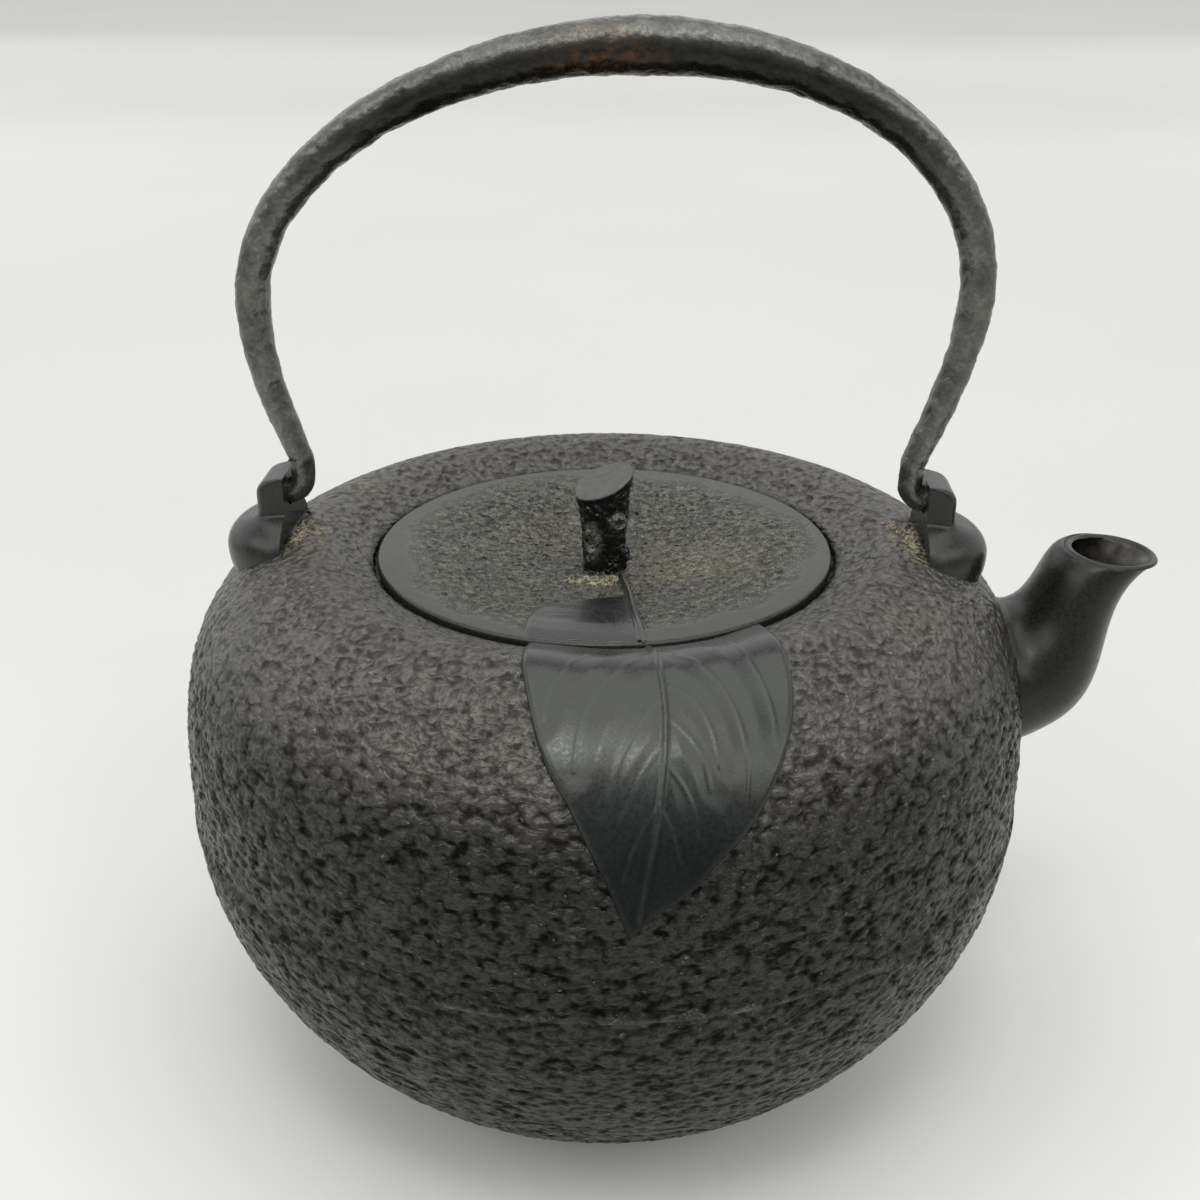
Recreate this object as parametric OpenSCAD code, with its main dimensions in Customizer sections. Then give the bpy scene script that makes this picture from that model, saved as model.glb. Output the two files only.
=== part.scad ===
// Cast iron kettle with a lift-off dished lid, a curved spout and a swinging forged handle.
// +Z is up, +X points along the spout, and the front, with the leaf, faces -Y.
// The origin is the centre of the flat base that the kettle stands on.

/* [Body] */
// Widest diameter of the body
body_d = 170; // [162:1:178]
// Height of the widest line above the base
belly_h = 63; // [58:0.5:68]
// Diameter of the flat base
base_d = 86; // [76:1:96]
// Height that the shoulder curve aims for above the widest line
crown_h = 57.4; // [55:0.1:60]
// Fullness of the curve below the widest line
lower_power = 1.85; // [1.7:0.05:2.1]
// Fullness of the shoulder curve
upper_power = 3.63; // [3.3:0.01:4]
// Thickness of the cast wall
wall = 3.2; // [2.6:0.1:4]

/* [Mouth] */
// Diameter of the mouth at its upper edge
mouth_d = 91.8; // [86:0.1:96]
// Drop from the crown height to the mouth's edge
mouth_drop = 9.4; // [8:0.1:11]
// Width of the rolled shoulder that falls to the mouth
roll_w = 16.1; // [14:0.1:18]
// Slope of the rolled shoulder at the mouth's edge, in degrees
roll_slope = 23; // [15:1:30]
// Depth of the lid's seat below the mouth's edge
seat_depth = 1.6; // [1.2:0.1:2.4]
// Width of the lid's seat
seat_w = 5.9; // [4.5:0.1:7]

/* [Lid] */
// Gap between the lid's edge and the mouth
lid_gap = 1; // [0.5:0.1:1.4]
// Thickness of the lid's edge
lid_edge_t = 2.5; // [1.8:0.1:3.2]
// Rounding of the lid's upper edge
lid_edge_round = 0.6; // [0.3:0.1:0.9]
// Width of the smooth band inside the lid's edge
lid_band_w = 7.5; // [6:0.1:9]
// Depth of the dish in the lid's middle
dish_depth = 4.6; // [3.5:0.1:5.5]
// Thickness of the lid's plate
lid_t = 2.8; // [2.4:0.1:3.4]
// Length of the skirt below the lid's edge
skirt_h = 8; // [6:0.5:10]
// Thickness of the skirt
skirt_t = 2.6; // [2:0.1:3]
// Gap between the skirt and the neck
skirt_gap = 0.8; // [0.4:0.1:1.2]

/* [Knob] */
// Diameter of the twig at its foot
knob_foot_d = 9.2; // [8:0.1:10]
// Diameter of the twig at its cut end
knob_top_d = 11.6; // [10:0.1:12.5]
// Height of the cut end at the twig's axis
knob_h = 18.2; // [16:0.1:21]
// Sideways slope of the cut, in degrees
cut_roll = 20; // [10:1:25]
// Forward slope of the cut, in degrees
cut_pitch = 12; // [5:1:18]
// Diameter of the tang that holds the knob
tang_d = 4; // [3.5:0.1:5]
// Clearance around the tang, on each side
tang_gap = 0.05; // [0.03:0.01:0.1]
// Diameter of the washer under the lid
washer_d = 14; // [11:0.5:16]
// Thickness of the washer
washer_t = 1.2; // [1:0.1:1.6]
// Height of the peened head under the washer
peen_h = 1.2; // [0.8:0.1:1.4]

/* [Spout] */
// Height of the spout's lower root above the widest line
root_low_h = 9.9; // [8:0.1:12]
// Height of the spout's upper root above the widest line
root_high_h = 36.5; // [34:0.1:39]
// Width of the spout's root across the body
root_w = 33.4; // [30:0.1:35]
// Reach of the lip beyond the widest line
spout_reach = 24; // [22:0.1:27]
// Height of the lip's far end above the widest line
lip_tip_h = 48.8; // [46:0.1:51]
// Rise from the lip's far end to its near end
lip_rise = 1.1; // [0:0.1:4]
// Length of the spout's mouth
lip_l = 18.1; // [16:0.1:20]
// Width of the spout's mouth
lip_w = 17.9; // [15:0.1:19]
// Thickness of the spout's wall at the root
root_wall = 2.6; // [2:0.1:3]
// Thickness of the spout's wall at the lip
lip_wall = 1.6; // [1.3:0.1:2.2]
// Diameter of the hole from the body into the spout
pour_d = 20; // [16:0.5:21]
// Bulge of the spout's back line beyond the widest line
back_bulge = 1.7; // [0:0.1:3]
// Rise of the spout's belly line before it turns up
heel_rise = 8.8; // [6:0.1:11]
// Tuck of the spout's belly line behind the lip
belly_tuck = 15.9; // [13:0.1:18]
// Height below the lip at which the belly line is tucked
tuck_drop = 11.1; // [9:0.1:13]

/* [Ears] */
// Distance from the widest line of the body in to the inner face of each ear
ear_inset = 22.6; // [21:0.1:24]
// Height of the handle's eyes above the shoulder
eye_rise = 8; // [7.5:0.1:9]
// Thickness of the upright stem of an ear
stem_t = 5.6; // [4.5:0.1:6.5]
// Width of the upright stem of an ear
stem_w = 11.6; // [10:0.1:13]
// Height of the stem's top above the eye
stem_top = 4.3; // [4:0.1:5]
// Rounding of the stem's outer top corner
stem_round = 2; // [1:0.1:2.5]
// Radius of the fruit-shaped boss of an ear
boss_r = 13.1; // [11:0.1:14]
// Drop from the eye to the widest line of the boss
boss_drop = 10.3; // [9.5:0.1:11]
// Height of the boss above its widest line
boss_up = 8; // [7:0.1:9]
// Height of the boss below its widest line
boss_down = 14; // [12:0.1:16]

/* [Handle] */
// Diameter of the bar at the hooks
hook_d = 5; // [4.4:0.1:5.4]
// Clearance around a hook in its eye, on each side
eye_gap = 0.3; // [0.2:0.05:0.4]
// Gap between a hook's shank and the ear
face_gap = 0.4; // [0.3:0.1:0.6]
// Radius of the hook's bend along the bar's middle
bend_r = 3; // [2.8:0.1:3.4]
// Distance that a hook's tip stops short of the ear's outer face
tip_short = 0.6; // [0.3:0.1:1]
// Height of the hook's shank above the eye
shank_h = 7; // [6.8:0.1:8]
// Flare of the bow beyond the shank on each side
bow_flare = 7.8; // [6.5:0.1:9]
// Lean of the bow where it leaves the shank, in degrees
bow_kick = 20; // [14:1:24]
// Length over which the bow keeps that lean
kick_l = 7; // [5:0.5:9]
// Length over which the bow runs upright below its widest place
side_l = 12; // [8:0.5:15]
// Height of the bow's widest place above the eyes
bow_mid = 38.5; // [35:0.5:42]
// Height of the bow's top above the eyes, along the bar's middle
bow_top = 83.3; // [78:0.1:88]
// Sideways offset of the bow's top toward the spout
bow_lean = 7; // [0:0.5:9]
// Thickness of the bar at the bow's widest place
side_d = 6.9; // [6:0.1:7.6]
// Thickness of the bar at the bow's top
top_t = 10.4; // [9:0.1:11.5]
// Width of the bar at the bow's top, front to back
top_w = 12; // [10:0.1:14]

/* [Leaf] */
// Height of the leaf above the body
leaf_t = 0.9; // [0.6:0.1:1.2]
// Width of the leaf
leaf_w = 45; // [38:0.5:48]
// Length of the leaf from the mouth's edge to its tip, seen at 45 degrees
leaf_l = 50; // [44:0.5:52]
// Sideways place of the leaf's middle
leaf_offset = 11.3; // [7:0.1:14]
// Sideways place of the leaf's tip
leaf_tip_offset = 7; // [3:0.1:10]
// Length of the leaf's lobe on the lid
lobe_l = 29; // [24:0.5:31]
// Height of the lobe above the lid
lobe_t = 0.6; // [0.4:0.1:0.8]
// Width of the lobe
lobe_w = 21; // [18:0.5:24]
// Distance from the leaf's middle to the lobe's inner edge, along the stalk
stalk_gap = 3; // [2:0.1:5]

/* [Hidden] */
$fn = 96;
body_r = body_d / 2;
base_r = base_d / 2;
mouth_r = mouth_d / 2;
join_r = mouth_r + roll_w;
neck_r = mouth_r - seat_w;
mouth_h = crown_h - mouth_drop;
// Half height of the whole lower curve, of which the flat base cuts off the end
lower_h = belly_h / pow(1 - pow(base_r / body_r, lower_power), 1 / lower_power);
// Points along each curve of the body's outline
upper_steps = 16;
roll_steps = 10;
lower_steps = 18;

lid_r = mouth_r - lid_gap;
lid_z = belly_h + mouth_h - seat_depth + lid_edge_t;
dish_r = lid_r - lid_band_w;
skirt_r = neck_r - skirt_gap;
// The dish is flat under the washer and the knob, and for this much around them
seat_margin = 0.4;
knob_seat_r = max(washer_d, knob_foot_d) / 2 + seat_margin;
dish_steps = 12;

ear_x = body_r - ear_inset;
hook_r = hook_d / 2;
eye_r = hook_r + eye_gap;
hook_x = ear_x - face_gap - hook_r;
bow_half = hook_x + bow_flare;
bow_sides = 16;
leg_steps = 8;
arc_steps = 24;

spout_rings = 14;
spout_sides = 24;
pour_h = (root_low_h + root_high_h) / 2;

// A cut that must run clear of a surface goes this far past it
past = 1;
// Reliefs lie off the surface that carries them by this share of the wall
skin_share = 1 / 64;
skin_gap = wall * skin_share;
iron = "#2c2e2d";
dark_iron = "#1d1c1b";
knob_black = "#141414";
washer_tone = "#4a443c";

// ---- Outline of the body, as [radius, height above the widest line] ----

function super_point(power, width, height, a) =
    [width * pow(cos(a), 2 / power), height * pow(sin(a), 2 / power)];
function crown_z(r) = crown_h * pow(1 - pow(r / body_r, upper_power), 1 / upper_power);
function crown_slope(r) =
    -crown_h / body_r * pow(r / body_r, upper_power - 1)
    * pow(1 - pow(r / body_r, upper_power), 1 / upper_power - 1);
function crown_r(z) = body_r * pow(1 - pow(z / crown_h, upper_power), 1 / upper_power);

// Smooth curve from the mouth's edge, t = 0, to the shoulder, t = 1
function roll_z(t) =
    (2 * t * t * t - 3 * t * t + 1) * mouth_h
    + (t * t * t - 2 * t * t + t) * roll_w * tan(roll_slope)
    + (3 * t * t - 2 * t * t * t) * crown_z(join_r)
    + (t * t * t - t * t) * roll_w * crown_slope(join_r);
function shoulder_z(r) = r < join_r ? roll_z((r - mouth_r) / roll_w) : crown_z(r);

join_angle = acos(pow(join_r / body_r, upper_power / 2));
base_angle = asin(pow(belly_h / lower_h, lower_power / 2));

shoulder_line = concat(
    [for (i = [0:upper_steps]) super_point(upper_power, body_r, crown_h, join_angle * i / upper_steps)],
    [for (i = [1:roll_steps]) let (t = 1 - i / roll_steps) [mouth_r + roll_w * t, roll_z(t)]]
);
pan_line = [
    for (i = [0:lower_steps])
        let (p = super_point(lower_power, body_r, lower_h, base_angle * i / lower_steps)) [p.x, -p.y]
];

// Moves every point of a line by t to its left, and keeps the first one level
function shifted(line, t) = [
    for (i = [0:len(line) - 1])
        let (
            d = line[min(i + 1, len(line) - 1)] - line[max(i - 1, 0)],
            left = i == 0 ? [-1, 0] : [-d.y, d.x] / norm(d)
        )
        line[i] + t * left
];
inner_pan_angle = asin(pow((belly_h - wall) / (lower_h - wall), lower_power / 2));

function reversed(line) = [for (i = [len(line) - 1:-1:0]) line[i]];

// ---- Kettle casting ----

module spun(outline) {
    translate([0, 0, belly_h])
        rotate_extrude()
            polygon(outline);
}

// The body with no hollow, and with its outer surface moved out by grow
module solid_shoulder(grow = 0) {
    top = shifted(shoulder_line, -grow);
    spun(concat([[0, 0]], top, [[0, top[len(top) - 1].y]]));
}

module base_pan() {
    inner = [
        for (i = [0:lower_steps])
            let (p = super_point(lower_power, body_r - wall, lower_h - wall, inner_pan_angle * i / lower_steps))
                [p.x, -p.y]
    ];
    color(iron)
        spun(concat(pan_line, [[0, -belly_h], [0, wall - belly_h]], reversed(inner)));
}

module shoulder_shell() {
    inner = [for (p = shifted(shoulder_line, wall)) if (p.x > mouth_r + wall) p];
    seat_z = mouth_h - seat_depth;
    color(iron)
        difference() {
            spun(concat(
                shoulder_line,
                [[mouth_r, seat_z], [neck_r, seat_z], [neck_r, seat_z - wall]],
                reversed(inner)
            ));
            translate([body_r / 2, 0, belly_h + pour_h])
                rotate([0, 90, 0])
                    cylinder(d = pour_d, h = body_r);
        }
}

// ---- Spout: each ring spans from the back line to the belly line ----

function bezier(p, t) =
    pow(1 - t, 3) * p[0] + 3 * t * pow(1 - t, 2) * p[1] + 3 * t * t * (1 - t) * p[2] + t * t * t * p[3];
tip_x = body_r + spout_reach;
heel_z = lip_tip_h + lip_rise;
spout_back = [
    [crown_r(root_high_h), root_high_h],
    [body_r + back_bulge, root_high_h],
    [body_r + back_bulge, heel_z],
    [tip_x - lip_l, heel_z]
];
spout_belly = [
    [crown_r(root_low_h), root_low_h],
    [tip_x, root_low_h + heel_rise],
    [tip_x - belly_tuck, lip_tip_h - tuck_drop],
    [tip_x, lip_tip_h]
];
function spout_half_w(t) = (root_w + (lip_w - root_w) * t) / 2;
function spout_wall(t) = root_wall + (lip_wall - root_wall) * t;

function spout_ring(i, inset) =
    let (
        t = i / spout_rings,
        back = bezier(spout_back, t),
        belly = bezier(spout_belly, t),
        mid = (back + belly) / 2,
        half = (belly - back) / 2 * (1 - inset * spout_wall(t) / (norm(belly - back) / 2)),
        half_w = spout_half_w(t) - inset * spout_wall(t)
    )
    [
        for (k = [0:spout_sides - 1])
            let (
                a = 360 * k / spout_sides,
                p = mid + half * cos(a),
                y = half_w * sin(a),
                on_body = sqrt(pow(crown_r(p.y), 2) - y * y) + skin_gap
            )
            [i == 0 ? on_body : p.x, y, belly_h + p.y]
    ];

// Skin between two closed rows of n points that start at a and b
function band(a, b, n) = [for (k = [0:n - 1]) [a + k, b + k, b + (k + 1) % n, a + (k + 1) % n]];

module spout() {
    n = spout_sides;
    last = spout_rings * n;
    inner = (spout_rings + 1) * n;
    points = [for (side = [0, 1]) for (i = [0:spout_rings]) each spout_ring(i, side)];
    outer_skin = [for (i = [0:spout_rings - 1]) each band(i * n, (i + 1) * n, n)];
    inner_skin = [for (i = [0:spout_rings - 1]) each band(inner + (i + 1) * n, inner + i * n, n)];
    color(iron)
        polyhedron(
            points,
            concat(outer_skin, inner_skin, band(inner, 0, n), band(last, inner + last, n)),
            convexity = 6
        );
}

// ---- Ears: half a fruit with an upright stem, bored for the handle's hook ----

eye_z = belly_h + shoulder_z(ear_x) + eye_rise;

module stem_outline() {
    top = eye_z + stem_top;
    difference() {
        translate([ear_x, belly_h])
            square([stem_t, top - belly_h]);
        translate([ear_x + stem_t - stem_round, top - stem_round])
            difference() {
                square(stem_round + past);
                circle(stem_round, $fn = 32);
            }
    }
}

module ear() {
    boss_z = eye_z - boss_drop;
    boss = concat(
        [for (a = [-90:15:0]) [boss_r * cos(a), boss_z + boss_down * sin(a)]],
        [for (a = [15:15:90]) [boss_r * cos(a), boss_z + boss_up * sin(a)]]
    );
    color(iron)
        difference() {
            union() {
                translate([ear_x, 0, 0])
                    intersection() {
                        rotate_extrude()
                            polygon(boss);
                        translate([0, -boss_r - past, 0])
                            cube([boss_r + past, 2 * (boss_r + past), eye_z]);
                    }
                translate([0, stem_w / 2, 0])
                    rotate([90, 0, 0])
                        linear_extrude(stem_w)
                            stem_outline();
            }
            solid_shoulder(skin_gap);
            translate([ear_x - past, 0, eye_z])
                rotate([0, 90, 0])
                    cylinder(r = eye_r, h = stem_t + 2 * past);
        }
}

module ear_right() {
    ear();
}

module ear_left() {
    mirror([1, 0, 0])
        ear();
}

// ---- Leaf: its outline is drawn in a plane that leans back at 45 degrees ----

leaf_top = (mouth_h - mouth_r) / sqrt(2);
leaf_steps = 10;
// One edge of the leaf, as shares of its width out and of its length down
leaf_form = [[0.46, 0], [0.56, 0.34], [0.42, 0.6]];
// Edge of the lobe, as shares of its width across and of its length up
lobe_form = [[0, 0.45], [0, 0.86], [0.35, 1], [0.85, 1]];

function leaf_edge(side) =
    let (
        controls = concat(
            [for (f = leaf_form) [leaf_offset + side * leaf_w * f.x, leaf_top - leaf_l * f.y]],
            [[leaf_tip_offset, leaf_top - leaf_l]]
        )
    )
    [for (i = [0:leaf_steps]) bezier(controls, i / leaf_steps)];

// Thin spun layer that lies on a line, between low and high above it
function layer(line, low, high) = concat(shifted(line, -high), reversed(shifted(line, -low)));

module leaf_relief() {
    color(iron)
        intersection() {
            spun(layer(shoulder_line, skin_gap, leaf_t));
            translate([0, 0, belly_h])
                rotate([45, 0, 0])
                    linear_extrude(body_r + crown_h)
                        polygon(concat(
                            [[leaf_edge(-1)[0].x, mouth_r / 2], [leaf_edge(1)[0].x, mouth_r / 2]],
                            leaf_edge(1),
                            reversed(leaf_edge(-1))
                        ));
        }
}

// ---- Lid, with its heights measured down from its upper face ----

function dish_z(r) =
    r > dish_r ? 0
    : r < knob_seat_r ? -dish_depth
    : -dish_depth * pow(1 - pow((r - knob_seat_r) / (dish_r - knob_seat_r), 2), 1.5);
dish_line = [
    for (i = [0:dish_steps])
        let (r = knob_seat_r + (dish_r - knob_seat_r) * i / dish_steps) [r, dish_z(r)]
];
tang_hole_r = tang_d / 2 + tang_gap;

module lid() {
    skirt_in = skirt_r - skirt_t;
    under = [for (p = dish_line) if (p.x < skirt_in) [p.x, p.y - lid_t]];
    color(iron)
        translate([0, 0, lid_z])
            rotate_extrude()
                polygon(concat(
                    [[tang_hole_r, -dish_depth]],
                    dish_line,
                    [for (a = [90:-15:0])
                        [lid_r - lid_edge_round * (1 - cos(a)), -lid_edge_round * (1 - sin(a))]],
                    [
                        [lid_r, -lid_edge_t],
                        [skirt_r, -lid_edge_t],
                        [skirt_r, -lid_edge_t - skirt_h],
                        [skirt_in, -lid_edge_t - skirt_h],
                        [skirt_in, dish_z(skirt_in) - lid_t]
                    ],
                    reversed(under),
                    [[tang_hole_r, -dish_depth - lid_t]]
                ));
}

module lid_leaf() {
    // The lobe runs from the lid's edge toward the knob, beside the leaf's stalk
    right = leaf_offset - stalk_gap;
    left = right - lobe_w;
    controls = [for (f = lobe_form) [left + lobe_w * f.x, lobe_l * f.y - lid_r]];
    face = concat(dish_line, [[lid_r - lid_edge_round, 0]]);
    color(iron)
        intersection() {
            translate([0, 0, lid_z])
                rotate_extrude()
                    polygon(concat(
                        [for (p = face) p + [0, lobe_t]],
                        reversed([for (p = face) p + [0, skin_gap]])
                    ));
            linear_extrude(lid_z + past)
                polygon(concat(
                    [[right, lobe_l - lid_r], [right, -lid_r], [left, -lid_r]],
                    [for (i = [0:leaf_steps]) bezier(controls, i / leaf_steps)]
                ));
        }
}

// ---- Knob: a cut twig with two knots, peened over a washer under the lid ----

// Each knot, as shares of the foot's diameter sideways, of the height, and of the diameter across
knots = [[0.3, 0.6, 0.42], [-0.24, 0.38, 0.4]];
// Forward place of the knots, as a share of the foot's diameter
knot_front = 0.43;

module knob() {
    foot_z = lid_z - dish_depth;
    long_h = knob_h + knob_top_d / 2;
    color(knob_black) {
        translate([0, 0, foot_z])
            difference() {
                union() {
                    cylinder(d1 = knob_foot_d, d2 = knob_top_d, h = long_h);
                    for (k = knots)
                        translate([knob_foot_d * k[0], -knob_foot_d * knot_front, knob_h * k[1]])
                            sphere(d = knob_foot_d * k[2], $fn = 32);
                }
                translate([0, 0, knob_h])
                    rotate([cut_pitch, -cut_roll, 0])
                        translate([-knob_top_d, -knob_top_d, 0])
                            cube([2 * knob_top_d, 2 * knob_top_d, long_h]);
            }
        translate([0, 0, foot_z - lid_t - washer_t])
            cylinder(d = tang_d, h = lid_t + washer_t);
        translate([0, 0, foot_z - lid_t - washer_t - peen_h])
            cylinder(d1 = tang_d, d2 = tang_d + 2 * peen_h, h = peen_h);
    }
}

module knob_washer() {
    color(washer_tone)
        translate([0, 0, lid_z - dish_depth - lid_t - washer_t])
            difference() {
                cylinder(d = washer_d, h = washer_t);
                translate([0, 0, -past])
                    cylinder(r = tang_hole_r, h = washer_t + 2 * past);
            }
}

// ---- Handle: two round hooks and the bow that joins them ----

module hook() {
    tip_x = ear_x + stem_t - tip_short;
    bend_x = hook_x + bend_r;
    color(dark_iron)
        translate([0, 0, eye_z]) {
            translate([bend_x, 0, 0])
                rotate([0, 90, 0])
                    cylinder(r = hook_r, h = tip_x - bend_x);
            translate([bend_x, 0, bend_r])
                rotate([-90, 0, 0])
                    rotate([0, 0, 90])
                        rotate_extrude(angle = 90)
                            translate([bend_r, 0])
                                circle(hook_r);
            translate([hook_x, 0, bend_r])
                cylinder(r = hook_r, h = shank_h - bend_r);
        }
}

module hook_right() {
    hook();
}

module hook_left() {
    mirror([1, 0, 0])
        hook();
}

// One leg of the bow, as [distance out, height above the eyes, thickness, width]
bow_leg = [
    [hook_x, shank_h],
    [hook_x, shank_h] + kick_l * [sin(bow_kick), cos(bow_kick)],
    [bow_half, bow_mid - side_l],
    [bow_half, bow_mid]
];
function leg_station(t) =
    let (p = bezier(bow_leg, t), d = hook_d + (side_d - hook_d) * t)
    [p.x, p.y, d, d];
// How late the bar swells toward the bow's top: 1 is even, and more is later
swell_power = 2.2;
function arc_station(a) =
    let (share = pow(1 - abs(a - 90) / 90, swell_power))
    [
        bow_half * cos(a),
        bow_mid + (bow_top - bow_mid) * sin(a),
        side_d + (top_t - side_d) * share,
        side_d + (top_w - side_d) * share
    ];
function mirrored(s) = [-s[0], s[1], s[2], s[3]];
function leaned(s) = [s[0] + bow_lean * pow((s[1] - shank_h) / (bow_top - shank_h), 2), s[1], s[2], s[3]];
bow_stations = concat(
    [for (i = [0:leg_steps - 1]) leaned(leg_station(i / leg_steps))],
    [for (i = [0:arc_steps]) leaned(arc_station(180 * i / arc_steps))],
    [for (i = [leg_steps - 1:-1:0]) leaned(mirrored(leg_station(i / leg_steps)))]
);

function bow_ring(i) =
    let (
        last = len(bow_stations) - 1,
        s = bow_stations[i],
        a = bow_stations[max(i - 1, 0)],
        b = bow_stations[min(i + 1, last)],
        step = i == 0 ? [0, 1] : i == last ? [0, -1] : [b[0] - a[0], b[1] - a[1]],
        along = step / norm(step)
    )
    [
        for (k = [0:bow_sides - 1])
            let (
                angle = 360 * k / bow_sides,
                out = s[2] / 2 * cos(angle)
            )
            [s[0] + along.y * out, s[3] / 2 * sin(angle), eye_z + s[1] - along.x * out]
    ];

module handle_bow() {
    rings = len(bow_stations);
    n = bow_sides;
    points = [for (i = [0:rings - 1]) each bow_ring(i)];
    skin = [for (i = [0:rings - 2]) each band(i * n, (i + 1) * n, n)];
    color(dark_iron)
        polyhedron(
            points,
            concat(skin, [[for (k = [0:n - 1]) k]], [[for (k = [n - 1:-1:0]) (rings - 1) * n + k]]),
            convexity = 6
        );
}

base_pan();
shoulder_shell();
spout();
ear_left();
ear_right();
leaf_relief();
lid();
lid_leaf();
knob();
knob_washer();
handle_bow();
hook_left();
hook_right();
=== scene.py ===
import math
import bpy
import bmesh
import numpy as np
from mathutils import Matrix, Vector


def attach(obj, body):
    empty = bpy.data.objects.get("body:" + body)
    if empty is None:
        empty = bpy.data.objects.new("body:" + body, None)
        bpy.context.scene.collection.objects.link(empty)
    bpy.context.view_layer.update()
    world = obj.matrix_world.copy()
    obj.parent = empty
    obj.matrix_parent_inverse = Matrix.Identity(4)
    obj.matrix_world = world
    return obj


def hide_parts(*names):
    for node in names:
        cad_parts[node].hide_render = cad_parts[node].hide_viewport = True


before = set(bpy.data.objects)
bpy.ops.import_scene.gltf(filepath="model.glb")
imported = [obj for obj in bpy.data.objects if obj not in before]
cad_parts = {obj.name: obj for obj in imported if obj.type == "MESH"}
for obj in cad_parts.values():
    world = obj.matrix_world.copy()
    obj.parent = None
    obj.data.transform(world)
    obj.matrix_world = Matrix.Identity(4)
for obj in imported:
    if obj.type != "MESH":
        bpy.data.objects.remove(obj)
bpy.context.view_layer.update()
mm = 0.001
fullTurn = 2 * math.pi


# small tools

def hexToLinear(code):
    channels = [int(code[i:i + 2], 16) / 255 for i in (1, 3, 5)]
    return [c / 12.92 if c <= 0.04045 else ((c + 0.055) / 1.055) ** 2.4 for c in channels] + [1.0]


def plug(node, feed):
    # feed holds sockets or plain values for the node's inputs, by name or by number
    for key, value in feed.items():
        if isinstance(value, bpy.types.NodeSocket):
            node.id_data.links.new(value, node.inputs[key])
        else:
            node.inputs[key].default_value = value


def addNode(near, kind, feed=None, **settings):
    # near is the tree, or any socket in it
    node = near.id_data.nodes.new(kind)
    for name, value in settings.items():
        setattr(node, name, value)
    plug(node, feed or {})
    return node


def meshObject(name, points, faces):
    # points are in millimetres
    mesh = bpy.data.meshes.new(name)
    mesh.from_pydata((np.asarray(points, float) * mm).tolist(), [], faces)
    mesh.validate()
    mesh.update()
    mesh.shade_smooth()
    return linked(bpy.data.objects.new(name, mesh))


def linked(made):
    bpy.context.scene.collection.objects.link(made)
    return made


def storeValues(piece, name, values):
    layer = piece.data.attributes.new(name, "FLOAT", "POINT")
    layer.data.foreach_set("value", np.asarray(values, np.float32))


def pointsOf(piece):
    return np.array([vertex.co for vertex in piece.data.vertices]) / mm


def takeResult(piece):
    # the evaluated mesh takes the place of the mesh and its modifiers
    graph = bpy.context.evaluated_depsgraph_get()
    result = bpy.data.meshes.new_from_object(piece.evaluated_get(graph))
    result.name = piece.name
    piece.modifiers.clear()
    piece.data = result
    return piece


def applyTree(piece, tree, values):
    modifier = piece.modifiers.new(tree.name, "NODES")
    modifier.node_group = tree
    for item in tree.interface.items_tree:
        if item.item_type == "SOCKET" and item.in_out == "INPUT" and item.name in values:
            modifier[item.identifier] = values[item.name]
    return takeResult(piece)


def finishPiece(piece, material, body, replaced):
    piece.data.materials.clear()
    piece.data.materials.append(material)
    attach(piece, body)
    if replaced:
        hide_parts(*replaced)
    print("made", piece.name, "with", len(piece.data.polygons), "faces")


def turnsOf(count):
    return np.arange(count) * fullTurn / count


def hump(values, centre, width):
    return np.exp(-((values - centre) / width) ** 2)


def lineAt(line, shares):
    # points at even shares of a polyline's length
    line = np.asarray(line, float)
    lengths = np.concatenate([[0], np.cumsum(np.linalg.norm(np.diff(line, axis=0), axis=1))])
    return np.stack([np.interp(np.asarray(shares) * lengths[-1], lengths, line[:, k])
                     for k in range(line.shape[1])], 1)


def stepsAlong(line):
    # the direction of a line at each of its points
    step = np.gradient(line, axis=0)
    return step / np.linalg.norm(step, axis=1)[:, None]


def bandFaces(first, firstCount, second, secondCount):
    # faces between two closed rings, where one count is a multiple of the other
    if firstCount == secondCount:
        return [(first + k, first + (k + 1) % firstCount, second + (k + 1) % firstCount, second + k)
                for k in range(firstCount)]
    if firstCount > secondCount:
        step = firstCount // secondCount
        return [tuple(first + (k * step + j) % firstCount for j in range(step + 1))
                + (second + (k + 1) % secondCount, second + k) for k in range(secondCount)]
    step = secondCount // firstCount
    return [(first + k, first + (k + 1) % firstCount)
            + tuple(second + ((k + 1) * step - j) % secondCount for j in range(step + 1))
            for k in range(firstCount)]


def spinRings(name, rings, closed):
    # rings is a list of [radius, height, count], from the outside of the base round to the inside
    points, starts, faces = [], [], []
    for radius, height, count in rings:
        starts.append(len(points))
        if count == 1:
            points.append((0, 0, height))
            continue
        turn = turnsOf(count)
        points.extend(zip(radius * np.cos(turn), radius * np.sin(turn), np.full(count, height)))
    pairs = list(zip(range(len(rings) - 1), range(1, len(rings))))
    if closed:
        pairs.append((len(rings) - 1, 0))
    for a, c in pairs:
        countA, countC = rings[a][2], rings[c][2]
        if countA == 1:
            faces += [(starts[a], starts[c] + (k + 1) % countC, starts[c] + k) for k in range(countC)]
        elif countC == 1:
            faces += [(starts[c], starts[a] + k, starts[a] + (k + 1) % countA) for k in range(countA)]
        else:
            faces += bandFaces(starts[a], countA, starts[c], countC)
    return meshObject(name, points, faces)


def outward(piece, weld=0.0):
    # turns the faces outward, after points nearer than weld (in metres) have become one
    work = bmesh.new()
    work.from_mesh(piece.data)
    if weld:
        bmesh.ops.remove_doubles(work, verts=work.verts, dist=weld)
    bmesh.ops.recalc_face_normals(work, faces=work.faces)
    work.to_mesh(piece.data)
    work.free()
    return piece


# outline of the kettle's body, in millimetres, with heights from the base

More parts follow.
